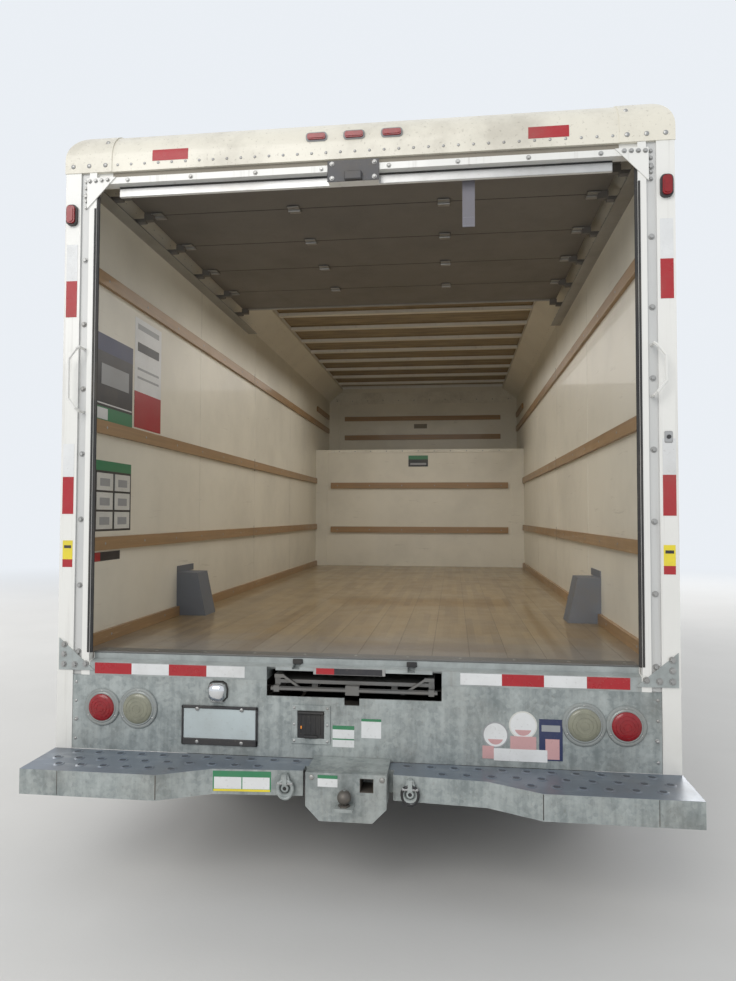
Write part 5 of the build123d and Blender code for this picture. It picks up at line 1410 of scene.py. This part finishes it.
@dataclass
class StowedDoor:
    """Hinges and joints of the roll-up door under the roof."""

    under: float = 2.900
    rows: tuple[float, ...] = (0.448, 0.844, 1.240, 1.636)
    columns: tuple[float, ...] = (-1.015, -0.350, 0.350, 1.015)

    def build(self) -> None:
        """Builds hinges with their knuckles and rivets, the joints and the edge channel."""
        iron = Piece("door_hinges", FASTENER, slot="door_grey")
        z = self.under - 0.005
        for y in self.rows:
            for x in self.columns:
                iron.box((x - 0.026, y - 0.040, z - 0.0035), (x + 0.026, y - 0.004, z + 0.001), 0.001)
                iron.box((x - 0.026, y + 0.000, z - 0.0035), (x + 0.026, y + 0.034, z + 0.001), 0.001)
                iron.rod((x - 0.028, y - 0.002, z - 0.006), (x + 0.028, y - 0.002, z - 0.006), 0.0055, 12)
                for dx in (-0.015, 0.015):
                    for dy in (-0.024, 0.020):
                        iron.dome((x + dx, y + dy, z - 0.0035), DOWNWARD, 0.004, 0.002, 8)
        iron.made()
        rails = Piece("door_joints", SEAL, slot="door_grey")
        for y in self.rows:
            rails.box((-1.072, y - 0.0040, self.under - 0.0006), (1.072, y + 0.0002, self.under + 0.001))
        rails.use(BARE_METAL)
        rails.box((-1.072, 0.050, self.under - 0.008), (1.072, 0.074, self.under + 0.001), 0.001)
        rails.box((-1.072, 2.006, self.under - 0.006), (1.072, 2.030, self.under + 0.001), 0.001)
        rails.made()


@dataclass
class Wheels:
    """Treaded tyres and pressed rims in place of the plain ones."""

    radius: float = 0.372
    width: float = 0.222
    bead: float = 0.206
    front_axle: float = 6.790
    rear_axle: float = 1.475
    front_x: float = 0.880
    rear_x: float = 1.075
    spacing: float = 0.262
    ribs: tuple[Pair, ...] = ((-0.089, -0.055), (-0.047, -0.017), (-0.012, 0.012), (0.017, 0.047), (0.055, 0.089))
    blocks: int = 58
    nuts: int = 8
    nut_circle: float = 0.0825

    def tyre(self, piece: Piece, x: float, y: float) -> None:
        """Adds one tyre: carcass, shoulder ridges and five ribs cut into blocks."""
        half, bead, top = self.width / 2, self.bead, self.radius - 0.010
        rows = [
            (-0.083, bead), (-0.090, bead + 0.010), (-0.100, bead + 0.024), (-half + 0.004, bead + 0.050),
            (-half, bead + 0.078), (-half + 0.002, bead + 0.104), (-half + 0.007, bead + 0.128),
            (-half + 0.013, self.radius - 0.022), (-0.094, top - 0.004), (-0.080, top),
        ]
        rows += [(-along, radius) for along, radius in reversed(rows)]
        centre = (x, y, self.radius)
        piece.lathe(centre, (1, 0, 0), rows, 72)
        for side in (-1, 1):
            for radius, along in ((bead + 0.030, half - 0.007), (bead + 0.112, half - 0.004)):
                low, high = side * (along - 0.002), side * (along + 0.0025)
                piece.lathe(centre, (1, 0, 0), [(low, radius - 0.003), (high, radius), (low, radius + 0.003)], 72)
        for number, (low, high) in enumerate(self.ribs):
            for step in range(self.blocks):
                turn = 2 * math.pi * (step + 0.37 * (number % 2)) / self.blocks
                self.block(piece, centre, low, high, turn, number)

    def block(self, piece: Piece, centre: Point, low: float, high: float, turn: float, number: int) -> None:
        """Adds one tread block, slanted a little in the outer ribs."""
        pitch = 2 * math.pi / self.blocks
        slant = (0.16, -0.10, 0.0, 0.10, -0.16)[number] * pitch
        points = []
        outer_drop = 0.006 if number in (0, 4) else 0.0
        for along in (low, high):
            at_edge = (number == 0 and along == low) or (number == 4 and along == high)
            top = self.radius - (outer_drop if at_edge else 0.0)
            lean = slant if along == high else -slant
            for angle in (turn + lean - pitch * 0.38, turn + lean + pitch * 0.38):
                for radius in (self.radius - 0.018, top):
                    points.append((
                        centre[0] + along, centre[1] + radius * math.sin(angle), centre[2] - radius * math.cos(angle)
                    ))
        piece.add(points, ((0, 1, 3, 2), (4, 6, 7, 5), (0, 4, 5, 1), (2, 3, 7, 6), (1, 5, 7, 3)))

    def rim(self, piece: Piece, x: float, y: float, out: int, dish: float) -> None:
        """Adds one pressed rim.

        Args:
            piece: The piece that it joins.
            x: Middle of the rim.
            y: Its axle.
            out: 1 if its outer side faces right, -1 if it faces left.
            dish: Where the disc stands from the middle, outward.
        """
        centre = (x, y, self.radius)
        axis = (out, 0, 0)
        piece.use(RIM)
        bead = self.bead
        barrel = (
            (-0.084, bead + 0.010), (-0.088, bead + 0.006), (-0.086, bead - 0.004), (-0.070, bead - 0.008),
            (-0.040, bead - 0.010), (-0.030, bead - 0.026), (0.020, bead - 0.026), (0.032, bead - 0.010),
            (0.070, bead - 0.008), (0.086, bead - 0.004), (0.088, bead + 0.006), (0.084, bead + 0.010),
            (0.081, bead + 0.001), (0.060, bead - 0.0005), (0.036, bead - 0.002), (0.024, bead - 0.019),
            (-0.034, bead - 0.019), (-0.044, bead - 0.002), (-0.060, bead - 0.0005), (-0.081, bead + 0.001),
        )
        piece.lathe(centre, axis, barrel, 64)
        lip = dish + (0.018 if dish < 0 else -0.018)
        front, back = dish + 0.0045, dish - 0.0045
        edge = ((front, 0.170), (lip, 0.181), (lip, 0.184), (back, 0.174), (back, 0.170))
        piece.lathe(centre, axis, edge, 64)
        self.holes(piece, centre, out, front, back)
        hub = ((front, 0.100), (front + 0.004, 0.096), (front + 0.004, 0.058), (back, 0.058), (back, 0.100))
        piece.lathe(centre, axis, hub, 48)

    def holes(self, piece: Piece, centre: Point, out: int, front: float, back: float) -> None:
        """Adds the flat of the disc with its eight hand holes."""
        inner, outer, hole, at = 0.099, 0.171, 0.0215, 0.137
        count, points_round = 8, 24
        for step in range(count):
            middle = 2 * math.pi * step / count
            half = math.pi / count
            rim, mouth = [], []
            hx, hy = at * math.cos(middle), at * math.sin(middle)
            for index in range(points_round):
                turn = middle + 2 * math.pi * index / points_round
                mouth.append((hx + hole * math.cos(turn), hy + hole * math.sin(turn)))
                rim.append(self.sector_edge(hx, hy, turn, middle, half, inner, outer))
            points = []
            for level in (front, back):
                for u, v in [*mouth, *rim]:
                    points.append((centre[0] + out * level, centre[1] + u, centre[2] + v))
            n = points_round
            faces = []
            for i in range(n):
                j = (i + 1) % n
                faces.append((i, j, n + j, n + i))
                faces.append((2 * n + i, 2 * n + j, 3 * n + j, 3 * n + i))
                faces.append((i, j, 2 * n + j, 2 * n + i))
            piece.add(points, faces)

    @staticmethod
    def sector_edge(
        hx: float, hy: float, turn: float, middle: float, half: float, inner: float, outer: float
    ) -> Pair:
        """Point where a ray from a hand hole's middle leaves its sector of the disc."""
        step, reach, limit = 0.0005, 0.0, 0.2
        while reach < limit:
            reach += step
            u, v = hx + reach * math.cos(turn), hy + reach * math.sin(turn)
            radius = math.hypot(u, v)
            off = (math.atan2(v, u) - middle + math.pi) % (2 * math.pi) - math.pi
            if radius >= outer or radius <= inner or abs(off) >= half:
                break
        return (u, v)

    def hub(self, piece: Piece, x: float, y: float, out: int, face: float, reach: float) -> None:
        """Adds a hub with its cap and eight nuts."""
        centre = (x, y, self.radius)
        axis = (out, 0, 0)
        piece.use(IRON)
        rows = (
            (face - 0.02, 0), (face - 0.02, 0.060), (face + 0.012, 0.060), (face + 0.020, 0.052),
            (reach - 0.012, 0.044), (reach, 0.036), (reach, 0),
        )
        piece.lathe(centre, axis, rows, 40)
        piece.use(FASTENER)
        for step in range(self.nuts):
            turn = 2 * math.pi * (step + 0.5) / self.nuts
            up, along = self.nut_circle * math.sin(turn), self.nut_circle * math.cos(turn)
            spot = (x + out * (face + 0.003), y + along, self.radius + up)
            piece.bolt(spot, axis, 0.0125, 0.022)
            piece.rod(spot, (spot[0] + out * 0.032, spot[1], spot[2]), 0.0065, 10)

    def build(self) -> None:
        """Builds all six wheels on their bodies."""
        for side, word in ((-1, "left"), (1, "right")):
            x, y = side * self.front_x, self.front_axle
            tyre = Piece(f"tread_front_{word}", TYRE, f"wheel_front_{word}", "tyre")
            self.tyre(tyre, x, y)
            tyre.made(f"tyre_front_{word}", crease=40)
            rim = Piece(f"pressed_rim_front_{word}", RIM, f"wheel_front_{word}", "rim_silver")
            self.rim(rim, x, y, side, dish=0.046)
            self.hub(rim, x, y, side, face=0.052, reach=0.098)
            rim.made(f"rim_front_{word}")
            outer, inner, y = side * self.rear_x, side * (self.rear_x - self.spacing), self.rear_axle
            tyres = Piece(f"treads_rear_{word}", TYRE, f"wheels_rear_{word}", "tyre")
            self.tyre(tyres, outer, y)
            self.tyre(tyres, inner, y)
            tyres.made(f"tyres_rear_{word}", crease=40)
            rims = Piece(f"pressed_rims_rear_{word}", RIM, f"wheels_rear_{word}", "rim_silver")
            self.rim(rims, outer, y, side, dish=-0.060)
            self.rim(rims, inner, y, side, dish=0.060)
            self.hub(rims, outer, y, side, face=-0.054, reach=0.040)
            drum = ((0.03, 0.056), (0.03, 0.126), (0.20, 0.126), (0.20, 0.056))
            rims.use(IRON).lathe((inner, y, self.radius), (side, 0, 0), drum, 40)
            rims.made(f"rims_rear_{word}")


@dataclass
class Lamps:
    """All rear lamps: round tail and reverse lamps, marker lamps, and the plate lamp."""

    tails: tuple[float, ...] = (-1.035, 1.035)
    reverses: tuple[float, ...] = (-0.881, 0.881)
    round_z: float = 0.6715
    header_places: tuple[float, ...] = (-0.158, -0.004, 0.149)
    header_z: float = 2.993
    post_z: float = 2.716
    seat_y: float = 0.006
    lens_edge: float = 0.008

    def round_lamp(self, piece: Piece, x: float, lens: Finish, rim: float, radius: float, proud: float) -> None:
        """Adds a round lamp.

        Args:
            piece: The piece that it joins.
            x: Its place across the truck.
            lens: Finish of the lens.
            rim: Radius of the ring.
            radius: Radius of the lens.
            proud: How far the lens stands out.
        """
        centre = (x, 0.0, self.round_z)
        piece.use(GREY_PLATE).disc(centre, REARWARD, rim - 0.004, -0.002, 48, sunk=0.030)
        ring = (
            (-0.002, radius * 0.96), (-0.002, rim), (0.002, rim + 0.001), (0.0055, rim - 0.002), (0.0068, rim - 0.007),
            (0.0058, rim - 0.012), (0.0085, radius + 0.004), (0.0080, radius * 0.985), (0.004, radius * 0.96),
        )
        piece.use(LAMP_RING).lathe(centre, REARWARD, ring, 56)
        crown = proud - self.lens_edge
        turns = (0.0, 0.2, 0.4, 0.6, 0.8, 1.0, 1.2, 1.4)
        high = [(self.lens_edge + crown * math.sin(t), radius * math.cos(t)) for t in turns]
        piece.use(lens).lathe(centre, REARWARD, [(0.0, 0.0), (0.0, radius), *high, (proud, 0)], 56)
        for share in (0.26, 0.50, 0.74):
            top, at = self.lens_edge + crown * math.sqrt(1 - share**2), radius * share
            rib = [(top - 0.002, at - 0.003), (top + 0.0011, at), (top - 0.002, at + 0.003)]
            piece.lathe(centre, REARWARD, rib, 48)
        piece.use(FASTENER)
        out = (rim + radius) / 2 + 0.001
        for turn in (math.radians(a) for a in (90, 210, 330)):
            spot = (x + out * math.cos(turn), -0.006, self.round_z + out * math.sin(turn))
            piece.dome(spot, REARWARD, 0.0042, 0.002, 10)

    def plate_lamp(self, piece: Piece) -> None:
        """Adds the plated dome over the licence plate."""
        x, z = -0.546, 0.749
        levels = (
            (0.0, 1.06, 0.004), (0.0, 1.10, 0.0), (0.005, 1.08, 0.0), (0.006, 1.0, 0.0), (0.016, 0.97, 0.0),
            (0.026, 0.84, 0.0), (0.032, 0.62, 0.001), (0.034, 0.30, 0.002),
        )
        outline = (
            (0.038, 0.012), (0.032, 0.030), (0.018, 0.037), (-0.018, 0.037), (-0.032, 0.030),
            (-0.038, 0.012), (-0.036, -0.020), (-0.022, -0.036), (0.022, -0.036), (0.036, -0.020),
        )
        loops = [[(x + u * size, -out, z + v * size + rise) for u, v in outline] for out, size, rise in levels]
        piece.use(SEAL).loft(loops[:4])
        piece.use(CHROME).loft(loops[3:])
        piece.use(FASTENER)
        for dx in (-0.016, 0.016):
            piece.dome((x + dx, -0.027, z - 0.024), (0, -1, -0.35), 0.0045, 0.0025, 10)
        piece.use(CLEAR_LENS).box((x - 0.024, -0.026, z - 0.038), (x + 0.024, -0.008, z - 0.032), 0.002)

    def markers(self, piece: Piece) -> None:
        """Adds the marker lamps of header and posts, each a base, a lens and its crown."""
        header = (
            (GREY_PLATE, (0.0435, 0.0185), -0.007, 0.012), (RED_LENS, (0.0375, 0.0125), -0.013, -0.005),
            (RED_LENS, (0.033, 0.008), -0.0155, -0.012),
        )
        post = (
            (BLACK, (0.0435, 0.0235), -0.014, 0.0), (RED_LENS, (0.037, 0.0175), -0.022, -0.012),
            (RED_LENS, (0.031, 0.0115), -0.025, -0.021),
        )
        spots = [(x, self.seat_y, self.header_z, header, False) for x in self.header_places]
        spots += [(x, 0.0, self.post_z, post, True) for x in (-1.200, 1.200)]
        for x, y, z, layers, upright in spots:
            for finish, size, low, high in layers:
                outline = [(x + v, z + u) if upright else (x + u, z + v) for u, v in self.capsule(*size)]
                piece.use(finish).prism(outline, 1, y + low, y + high)

    @staticmethod
    def capsule(half_long: float, half_short: float) -> list[Pair]:
        """Outline of a long form with well rounded corners."""
        radius = half_short * 0.75
        corners = ((1, 1, 0), (-1, 1, 90), (-1, -1, 180), (1, -1, 270))
        points: list[Pair] = []
        for a, b, start in corners:
            points += arc((a * (half_long - radius), b * (half_short - radius)), radius, start, start + 90, 5)
        return points

    def build(self) -> None:
        """Builds the lamps as one piece in place of the plain ones."""
        piece = Piece("rear_lamp_set", GREY_PLATE, slot="lamp_red")
        for x in self.tails:
            self.round_lamp(piece, x, RED_LENS, rim=0.0745, radius=0.0545, proud=0.020)
        for x in self.reverses:
            self.round_lamp(piece, x, REVERSE_LENS, rim=0.0810, radius=0.0610, proud=0.019)
        self.plate_lamp(piece)
        self.markers(piece)
        piece.made("rear_lamps")


@dataclass
class CabTrim:
    """Seals, mirror glass, lamps and hardware of the cab."""

    belt: float = 1.250
    side_half: float = 1.012
    lean: float = 0.196
    nose: float = 7.500
    cowl: Pair = (6.935, 1.290)
    header: Pair = (6.330, 2.010)

    @staticmethod
    def rounded(corners: Sequence[Pair], radius: float) -> list[Pair]:
        """Outline with its corners cut in three steps."""
        path: list[Pair] = []
        for i, corner in enumerate(corners):
            before, after = corners[i - 1], corners[(i + 1) % len(corners)]
            ends = []
            for other in (before, after):
                length = math.dist(corner, other)
                ends.append([c + (o - c) * radius / length for c, o in zip(corner, other)])
            for t in (0.0, 0.33, 0.67, 1.0):
                path.append(tuple(
                    a * (1 - t) ** 2 + 2 * c * t * (1 - t) + b * t**2 for a, c, b in zip(ends[0], corner, ends[1])
                ))
        return path

    def on_screen(self, x: float, up: float, out: float = 0.0) -> Point:
        """Place on the windshield, by distances along it and out of it."""
        dy, dz = self.header[0] - self.cowl[0], self.header[1] - self.cowl[1]
        length = math.hypot(dy, dz)
        return (x, self.cowl[0] + (dy * up + dz * out) / length, self.cowl[1] + (dz * up - dy * out) / length)

    def door(self, side: int, name: str) -> None:
        """Window seal, mirror glass, side strip and lock of one door."""
        trim = Piece(f"door_trim_{name}", SEAL, body=f"door_{name}", slot="rubber")

        def block(low: Point, high: Point, edge: float = 0.0) -> None:
            """Adds a box to this door's side."""
            x = sorted((side * low[0], side * high[0]))
            trim.box((x[0], *low[1:]), (x[1], *high[1:]), edge)

        corners = ((5.525, 1.275), (6.353, 1.275), (6.085, 1.900), (5.525, 1.900))
        path = [(side * (self.side_half - self.lean * (z - self.belt)), y, z) for y, z in self.rounded(corners, 0.03)]
        trim.tube(path, 0.0080, 8, closed=True)
        block((1.1035, 6.3440, 1.3140), (1.2115, 6.3510, 1.6260), 0.002)
        trim.use(MIRROR)
        block((1.1070, 6.3425, 1.4080), (1.2080, 6.3450, 1.6220), 0.001)
        block((1.1070, 6.3425, 1.3180), (1.2080, 6.3450, 1.4020), 0.001)
        trim.use(BLACK)
        block((1.0110, 5.4700, 0.7000), (1.0190, 6.3000, 0.7420), 0.003)
        block((1.0110, 5.5080, 1.1440), (1.0130, 5.6570, 1.1840), 0.001)
        lock = ((-0.001, 0), (-0.001, 0.011), (0.003, 0.010), (0.003, 0))
        trim.use(FASTENER).lathe((side * 1.0125, 5.583, 1.118), (side, 0, 0), lock, 16)
        trim.made()

    def screen(self) -> None:
        """Windshield seal, cowl strip and wipers."""
        trim = Piece("screen_trim", SEAL, slot="rubber")
        edge = self.rounded(((-0.894, 0.058), (0.894, 0.058), (0.782, 0.8825), (-0.782, 0.8825)), 0.05)
        trim.tube([self.on_screen(x, up, -0.001) for x, up in edge], 0.0105, 8, closed=True)
        strip = ((6.9385, 1.2860), (6.9385, 1.2935), (6.9625, 1.2840), (6.9625, 1.2770))
        trim.use(BLACK).prism(strip, 0, -0.86, 0.86)
        for x in (-0.56, 0.06):
            trim.rod(self.on_screen(x, 0.005, -0.01), self.on_screen(x, 0.012, 0.034), 0.011, 12)
            for radius, path in (
                (0.0048, ((0.0, 0.012, 0.030), (0.10, 0.070, 0.034), (0.30, 0.142, 0.020))),
                (0.0058, ((0.02, 0.112, 0.008), (0.30, 0.138, 0.013), (0.57, 0.152, 0.008))),
            ):
                trim.tube([self.on_screen(x + dx, up, out) for dx, up, out in path], radius, 8)
        trim.made()

    def front(self) -> None:
        """Lamp reflectors, grille and lamp frames, radiator and bumper strip."""
        trim = Piece("front_trim", CHROME, slot="aluminium")
        y = self.nose
        forward = (0, 1, 0)
        for side in (-1, 1):
            bowl = (
                (-0.050, 0), (-0.048, 0.030), (-0.030, 0.060), (-0.008, 0.076),
                (-0.008, 0.079), (-0.034, 0.063), (-0.053, 0.030), (-0.053, 0),
            )
            trim.lathe((side * 0.585, y, 0.868), forward, bowl, 40)
            trim.dome((side * 0.585, y - 0.050, 0.868), forward, 0.014, 0.022, 16)
        trim.both((0.4740, y - 0.0600, 0.7740), (0.7560, y - 0.0550, 0.9610))
        trim.use(AMBER_LENS).both((0.6830, y - 0.0540, 0.7760), (0.7540, y - 0.0060, 0.9590), 0.004)
        trim.use(BLACK).box((-0.454, y - 0.004, 0.736), (0.454, y + 0.006, 0.750), 0.002)
        trim.box((-0.454, y - 0.004, 0.985), (0.454, y + 0.005, 0.997), 0.002)
        for x0, x1, z0, z1, proud in (
            (0.7600, 0.7700, 0.758, 0.977, 0.004), (0.4540, 0.7700, 0.758, 0.7700, 0.004),
            (0.4540, 0.7700, 0.9650, 0.9770, 0.004), (0.4400, 0.4700, 0.750, 0.985, 0.005),
        ):
            trim.both((x0, y - 0.004, z0), (x1, y + proud, z1), 0.002)
        trim.use(CHASSIS).box((-0.37, y - 0.128, 0.700), (0.37, y - 0.100, 0.985))
        trim.both((0.37, y - 0.138, 0.690), (0.415, y - 0.090, 0.995), 0.010)
        for z in spread(0.712, 0.974, 0.012):
            trim.box((-0.37, y - 0.100, z - 0.0012), (0.37, y - 0.096, z + 0.0012))
        left = ((-0.842, 7.533), (-0.450, 7.5795))
        back = ((0.842, 7.522), (0.450, 7.570))
        band = [*left, *((-u, v) for u, v in reversed(left)), *back, *((-u, v) for u, v in reversed(back))]
        trim.use(GREY_PLATE).prism(band, 2, 0.585, 0.617)
        trim.made()

    def build(self) -> None:
        """Builds all of it."""
        self.door(-1, "left")
        self.door(1, "right")
        self.screen()
        self.front()


@dataclass
class BoxTrim:
    """Rivets, tape and marker lamps of the box's sides and nose."""

    wall: float = 1.2265
    rail: float = 1.233
    nose: float = 6.150

    def rivets(self) -> None:
        """Rows along the rub rails, the roof's rails and the nose."""
        heads = Piece("box_rivets", FASTENER, slot="box_white")
        small, forward = (0.0050, 0.0024), (0, 1, 0)
        for side in (-1, 1):
            out = (side, 0, 0)
            rail, wall = side * self.rail, side * self.wall
            for z in (0.842, 0.907):
                heads.row((rail, 0.12, z), (rail, 5.20, z), 0.16, out, (0.0060, 0.0030), 8)
            for z, low in ((2.915, 0.20), (2.948, 0.26)):
                heads.row((wall, low, z), (wall, 6.06, z), 0.12, out, small, 8)
            y = self.nose - 0.030
            heads.row((wall, y, 2.26), (wall, y, 2.86), 0.10, out, small, 8)
            heads.row((side * 1.190, self.nose, 2.26), (side * 1.190, self.nose, 2.86), 0.10, forward, small, 8)
        heads.row((-1.10, self.nose, 2.925), (1.10, self.nose, 2.925), 0.11, forward, small, 8)
        heads.made()

    def tape(self) -> None:
        """Red and white tape in sets along the rub rails."""
        strips = Piece("side_tape", Vinyl.RED.tape(), slot="box_white")
        for start in (0.30, 2.05, 3.35, 4.55):
            for colour, low, high in ((Vinyl.RED, 0.0, 0.280), (Vinyl.WHITE, 0.280, 0.460)):
                strips.use(colour.tape())
                strips.both((self.rail - 0.001, start + low, 0.8510), (self.rail + 0.0012, start + high, 0.8980))
        strips.made()

    def lamps(self) -> None:
        """Marker lamps: amber at the nose and along the front, red at the rear."""
        lamps = Piece("side_markers", BLACK, slot="lamp_red")
        base, lens = Lamps.capsule(0.050, 0.024), Lamps.capsule(0.043, 0.017)

        def layers(finish: Finish) -> tuple[tuple[list[Pair], float, float, Finish], ...]:
            """Outline, seat, top and finish of a lamp's base and lens."""
            return ((base, -0.001, 0.010, BLACK), (lens, 0.009, 0.017, finish))

        for side in (-1, 1):
            for y, z, face, finish in (
                (0.175, 0.8745, self.rail, RED_LENS), (5.10, 0.8745, self.rail, AMBER_LENS),
                (6.035, 2.855, self.wall, AMBER_LENS),
            ):
                for outline, low, high, chosen in layers(finish):
                    x = sorted((side * (face + low), side * (face + high)))
                    lamps.use(chosen).prism([(y + u, z + v) for u, v in outline], 0, *x)
        for x in (-1.080, -0.160, 0.0, 0.160, 1.080):
            for outline, low, high, chosen in layers(AMBER_LENS):
                spots = [(x + u, 2.998 + v) for u, v in outline]
                lamps.use(chosen).prism(spots, 1, self.nose + low, self.nose + high)
        lamps.made()

    def build(self) -> None:
        """Builds all of it."""
        self.rivets()
        self.tape()
        self.lamps()


@dataclass
class PullStrap:
    """Webbing strap that hangs from the stowed door, with a folded and sewn end."""

    x: float = 0.455
    width: float = 0.050
    thick: float = 0.0018
    top: float = 2.900
    low: float = 2.624
    y: float = 0.0725
    hem: float = 0.045

    def sway(self, z: float) -> float:
        """How far the strap bows along the truck at a height."""
        share = (self.top - z) / (self.top - self.low)
        return self.y + 0.0013 * math.sin(3.0 * share) - 0.0004 * share

    def build(self) -> None:
        """Builds the strap, its hem and stitches."""
        strap = Piece("pull_strap_webbing", WEBBING, slot="webbing")
        for offset, top in ((0.0, self.top), (self.thick, self.low + self.hem)):
            self.layer(strap, top, offset)
        band = strap.made("pull_strap")
        stitches = Piece("pull_strap_stitches", Vinyl.GREY.finish(), slot="webbing")
        for z in (self.low + 0.006, self.low + self.hem - 0.006):
            for x in spread(self.x - 0.020, self.x + 0.020, 0.0045):
                y = self.sway(z) - self.thick / 2
                stitches.box((x - 0.0015, y - 0.0006, z - 0.0006), (x + 0.0015, y + 0.0004, z + 0.0006), 0.0003)
        stitches.made()

    def layer(self, piece: Piece, top: float, offset: float) -> None:
        """Adds one layer of the webbing.

        Args:
            piece: The piece that it joins.
            top: Its upper end.
            offset: How far forward it lies.
        """
        def place(face: int, across: float, up: float) -> Point:
            """A point of the webbing, thinner at its edges."""
            z = self.low + (top - self.low) * (up + 1) / 2
            edge = 0.35 if abs(across) == 1 else 1.0
            y = self.sway(z) + offset + face * self.thick / 2 * edge
            return (self.x + across * self.width / 2, y, z)

        piece.shell(40, 8, place)


@dataclass
class Seats:
    """Two cloth seats with sewn channels, on their pedestals."""

    places: tuple[float, ...] = (-0.560, 0.560)
    bolster: float = 0.020
    bolster_at: float = 0.84
    bolster_half: float = 0.14
    seam: float = 0.010
    seam_share: float = 0.22
    sewn: float = 0.72
    pads: tuple[tuple[tuple[Pair, Pair], float, float, int], ...] = (
        (((6.085, 1.105), (5.605, 1.085)), 0.246, 0.115, 5),
        (((5.640, 1.130), (5.565, 1.500)), 0.240, 0.105, 5),
        (((5.552, 1.545), (5.535, 1.730)), 0.140, 0.080, 1),
    )

    def pad(self, piece: Piece, x: float, line: tuple[Pair, Pair], half: float, thick: float, channels: int) -> None:
        """Adds one pad: crowned, pulled in between its corners, with sewn channels.

        Args:
            piece: The piece that it joins.
            x: Middle of the seat.
            line: Two points of the pad's middle line, as places along and up.
            half: Half of its width.
            thick: Its thickness.
            channels: How many channels run along it.
        """
        (y0, z0), (y1, z1) = line
        length = math.hypot(y1 - y0, z1 - z0)
        along = ((y1 - y0) / length, (z1 - z0) / length)

        def place(face: int, u: float, v: float) -> Point:
            """A point of the pad, with bolsters and seams on its upper face."""
            edge = (max(0.0, 1 - abs(u) ** 5) * max(0.0, 1 - abs(v) ** 5)) ** 0.42
            sew = bolster = 0.0
            if face > 0:
                bolster = self.bolster * max(0.0, 1 - ((abs(u) - self.bolster_at) / self.bolster_half) ** 2)
                if abs(u) < self.sewn:
                    wave = abs(math.sin(channels * math.pi * (u + self.sewn) / (2 * self.sewn)))
                    sew = self.seam * math.exp(-((wave / self.seam_share) ** 2))
            rise = face * thick / 2 * edge + (bolster - sew) * edge
            pull, narrow = 1 - 0.025 * (1 - v * v), 1 - 0.020 * (1 - u * u)
            run = (v * narrow + 1) / 2 * length
            return (x + u * half * pull, y0 + along[0] * run - along[1] * rise, z0 + along[1] * run + along[0] * rise)

        piece.shell(36, 36, place)

    def build(self) -> None:
        """Builds pads and pedestals in place of the plain seats."""
        for x in self.places:
            word = "left" if x < 0 else "right"
            pads = Piece(f"seat_pads_{word}", CLOTH, slot="seat_fabric")
            for line, half, thick, channels in self.pads:
                self.pad(pads, x, line, half, thick, channels)
            made = pads.made("seats")
            base = Piece(f"seat_base_{word}", BLACK, slot="seat_fabric")
            base.box((x - 0.185, 5.645, 0.800), (x + 0.185, 6.025, 0.985), 0.012)
            base.box((x - 0.215, 5.640, 0.985), (x + 0.215, 6.040, 1.035), 0.010)
            for dx in (-0.055, 0.055):
                base.use(CHROME).rod((x + dx, 5.560, 1.480), (x + dx, 5.550, 1.570), 0.006)
            base.use(BLACK).box((x - 0.232, 5.600, 1.020), (x - 0.212, 5.760, 1.090), 0.006)
            base.made()


@dataclass
class SteeringWheel:
    """Round-rimmed steering wheel with a padded hub."""

    centre: Point = (-0.480, 6.330, 1.290)
    lean: float = 35.0
    ring: float = 0.186
    ring_tube: float = 0.0130
    column: float = 0.022
    column_length: float = 0.330
    spoke: tuple[tuple[float, ...], ...] = (
        (0.045, 0.021, 0.008, 0.004), (0.110, 0.015, 0.006, 0.006), (0.180, 0.013, 0.005, 0.0),
    )

    def build(self) -> None:
        """Builds the wheel in place of the plain one."""
        tilt = math.radians(self.lean)
        axis = Vector((0, -math.cos(tilt), math.sin(tilt)))
        across = Vector((1, 0, 0))
        up = axis.cross(across)
        middle = Vector(self.centre)
        wheel = Piece("steering_rim", DASH, "steering_wheel", "trim_black")
        turns = [2 * math.pi * i / 64 for i in range(64)]
        path = [tuple(middle + (across * math.cos(t) + up * math.sin(t)) * self.ring) for t in turns]
        wheel.tube(path, self.ring_tube, 14, closed=True)
        rows = (
            (-0.030, 0), (-0.030, 0.036), (-0.010, 0.052), (0.006, 0.054), (0.016, 0.046), (0.021, 0.030), (0.022, 0),
        )
        wheel.lathe(self.centre, tuple(axis), rows, 36)
        for turn in (0.0, math.pi, 1.5 * math.pi):
            ray = across * math.cos(turn) + up * math.sin(turn)
            side = axis.cross(ray)
            loops = []
            for reach, wide, thick, drop in self.spoke:
                base = middle + ray * reach - axis * drop
                signs = ((-1, -1), (1, -1), (1, 1), (-1, 1))
                loops.append([base + side * a * wide + axis * b * thick for a, b in signs])
            wheel.loft(loops)
        wheel.rod(self.centre, tuple(middle - axis * self.column_length), self.column, 20)
        wheel.made("steering_wheel")


def main() -> None:
    """Dresses the truck and sets the studio."""
    logging.basicConfig(level=logging.INFO, format="%(name)s %(message)s")
    dress_nodes()
    parts = (
        RearFrame(), SillAndPanel(), Lamps(), StepBumper(), LoadSpace(), StowedDoor(), PullStrap(), Wheels(),
        Seats(), SteeringWheel(), CabTrim(), BoxTrim(), Studio(),
    )
    for part in parts:
        part.build()
        log.info("built %s", type(part).__name__)


if __name__ == "__main__":
    main()
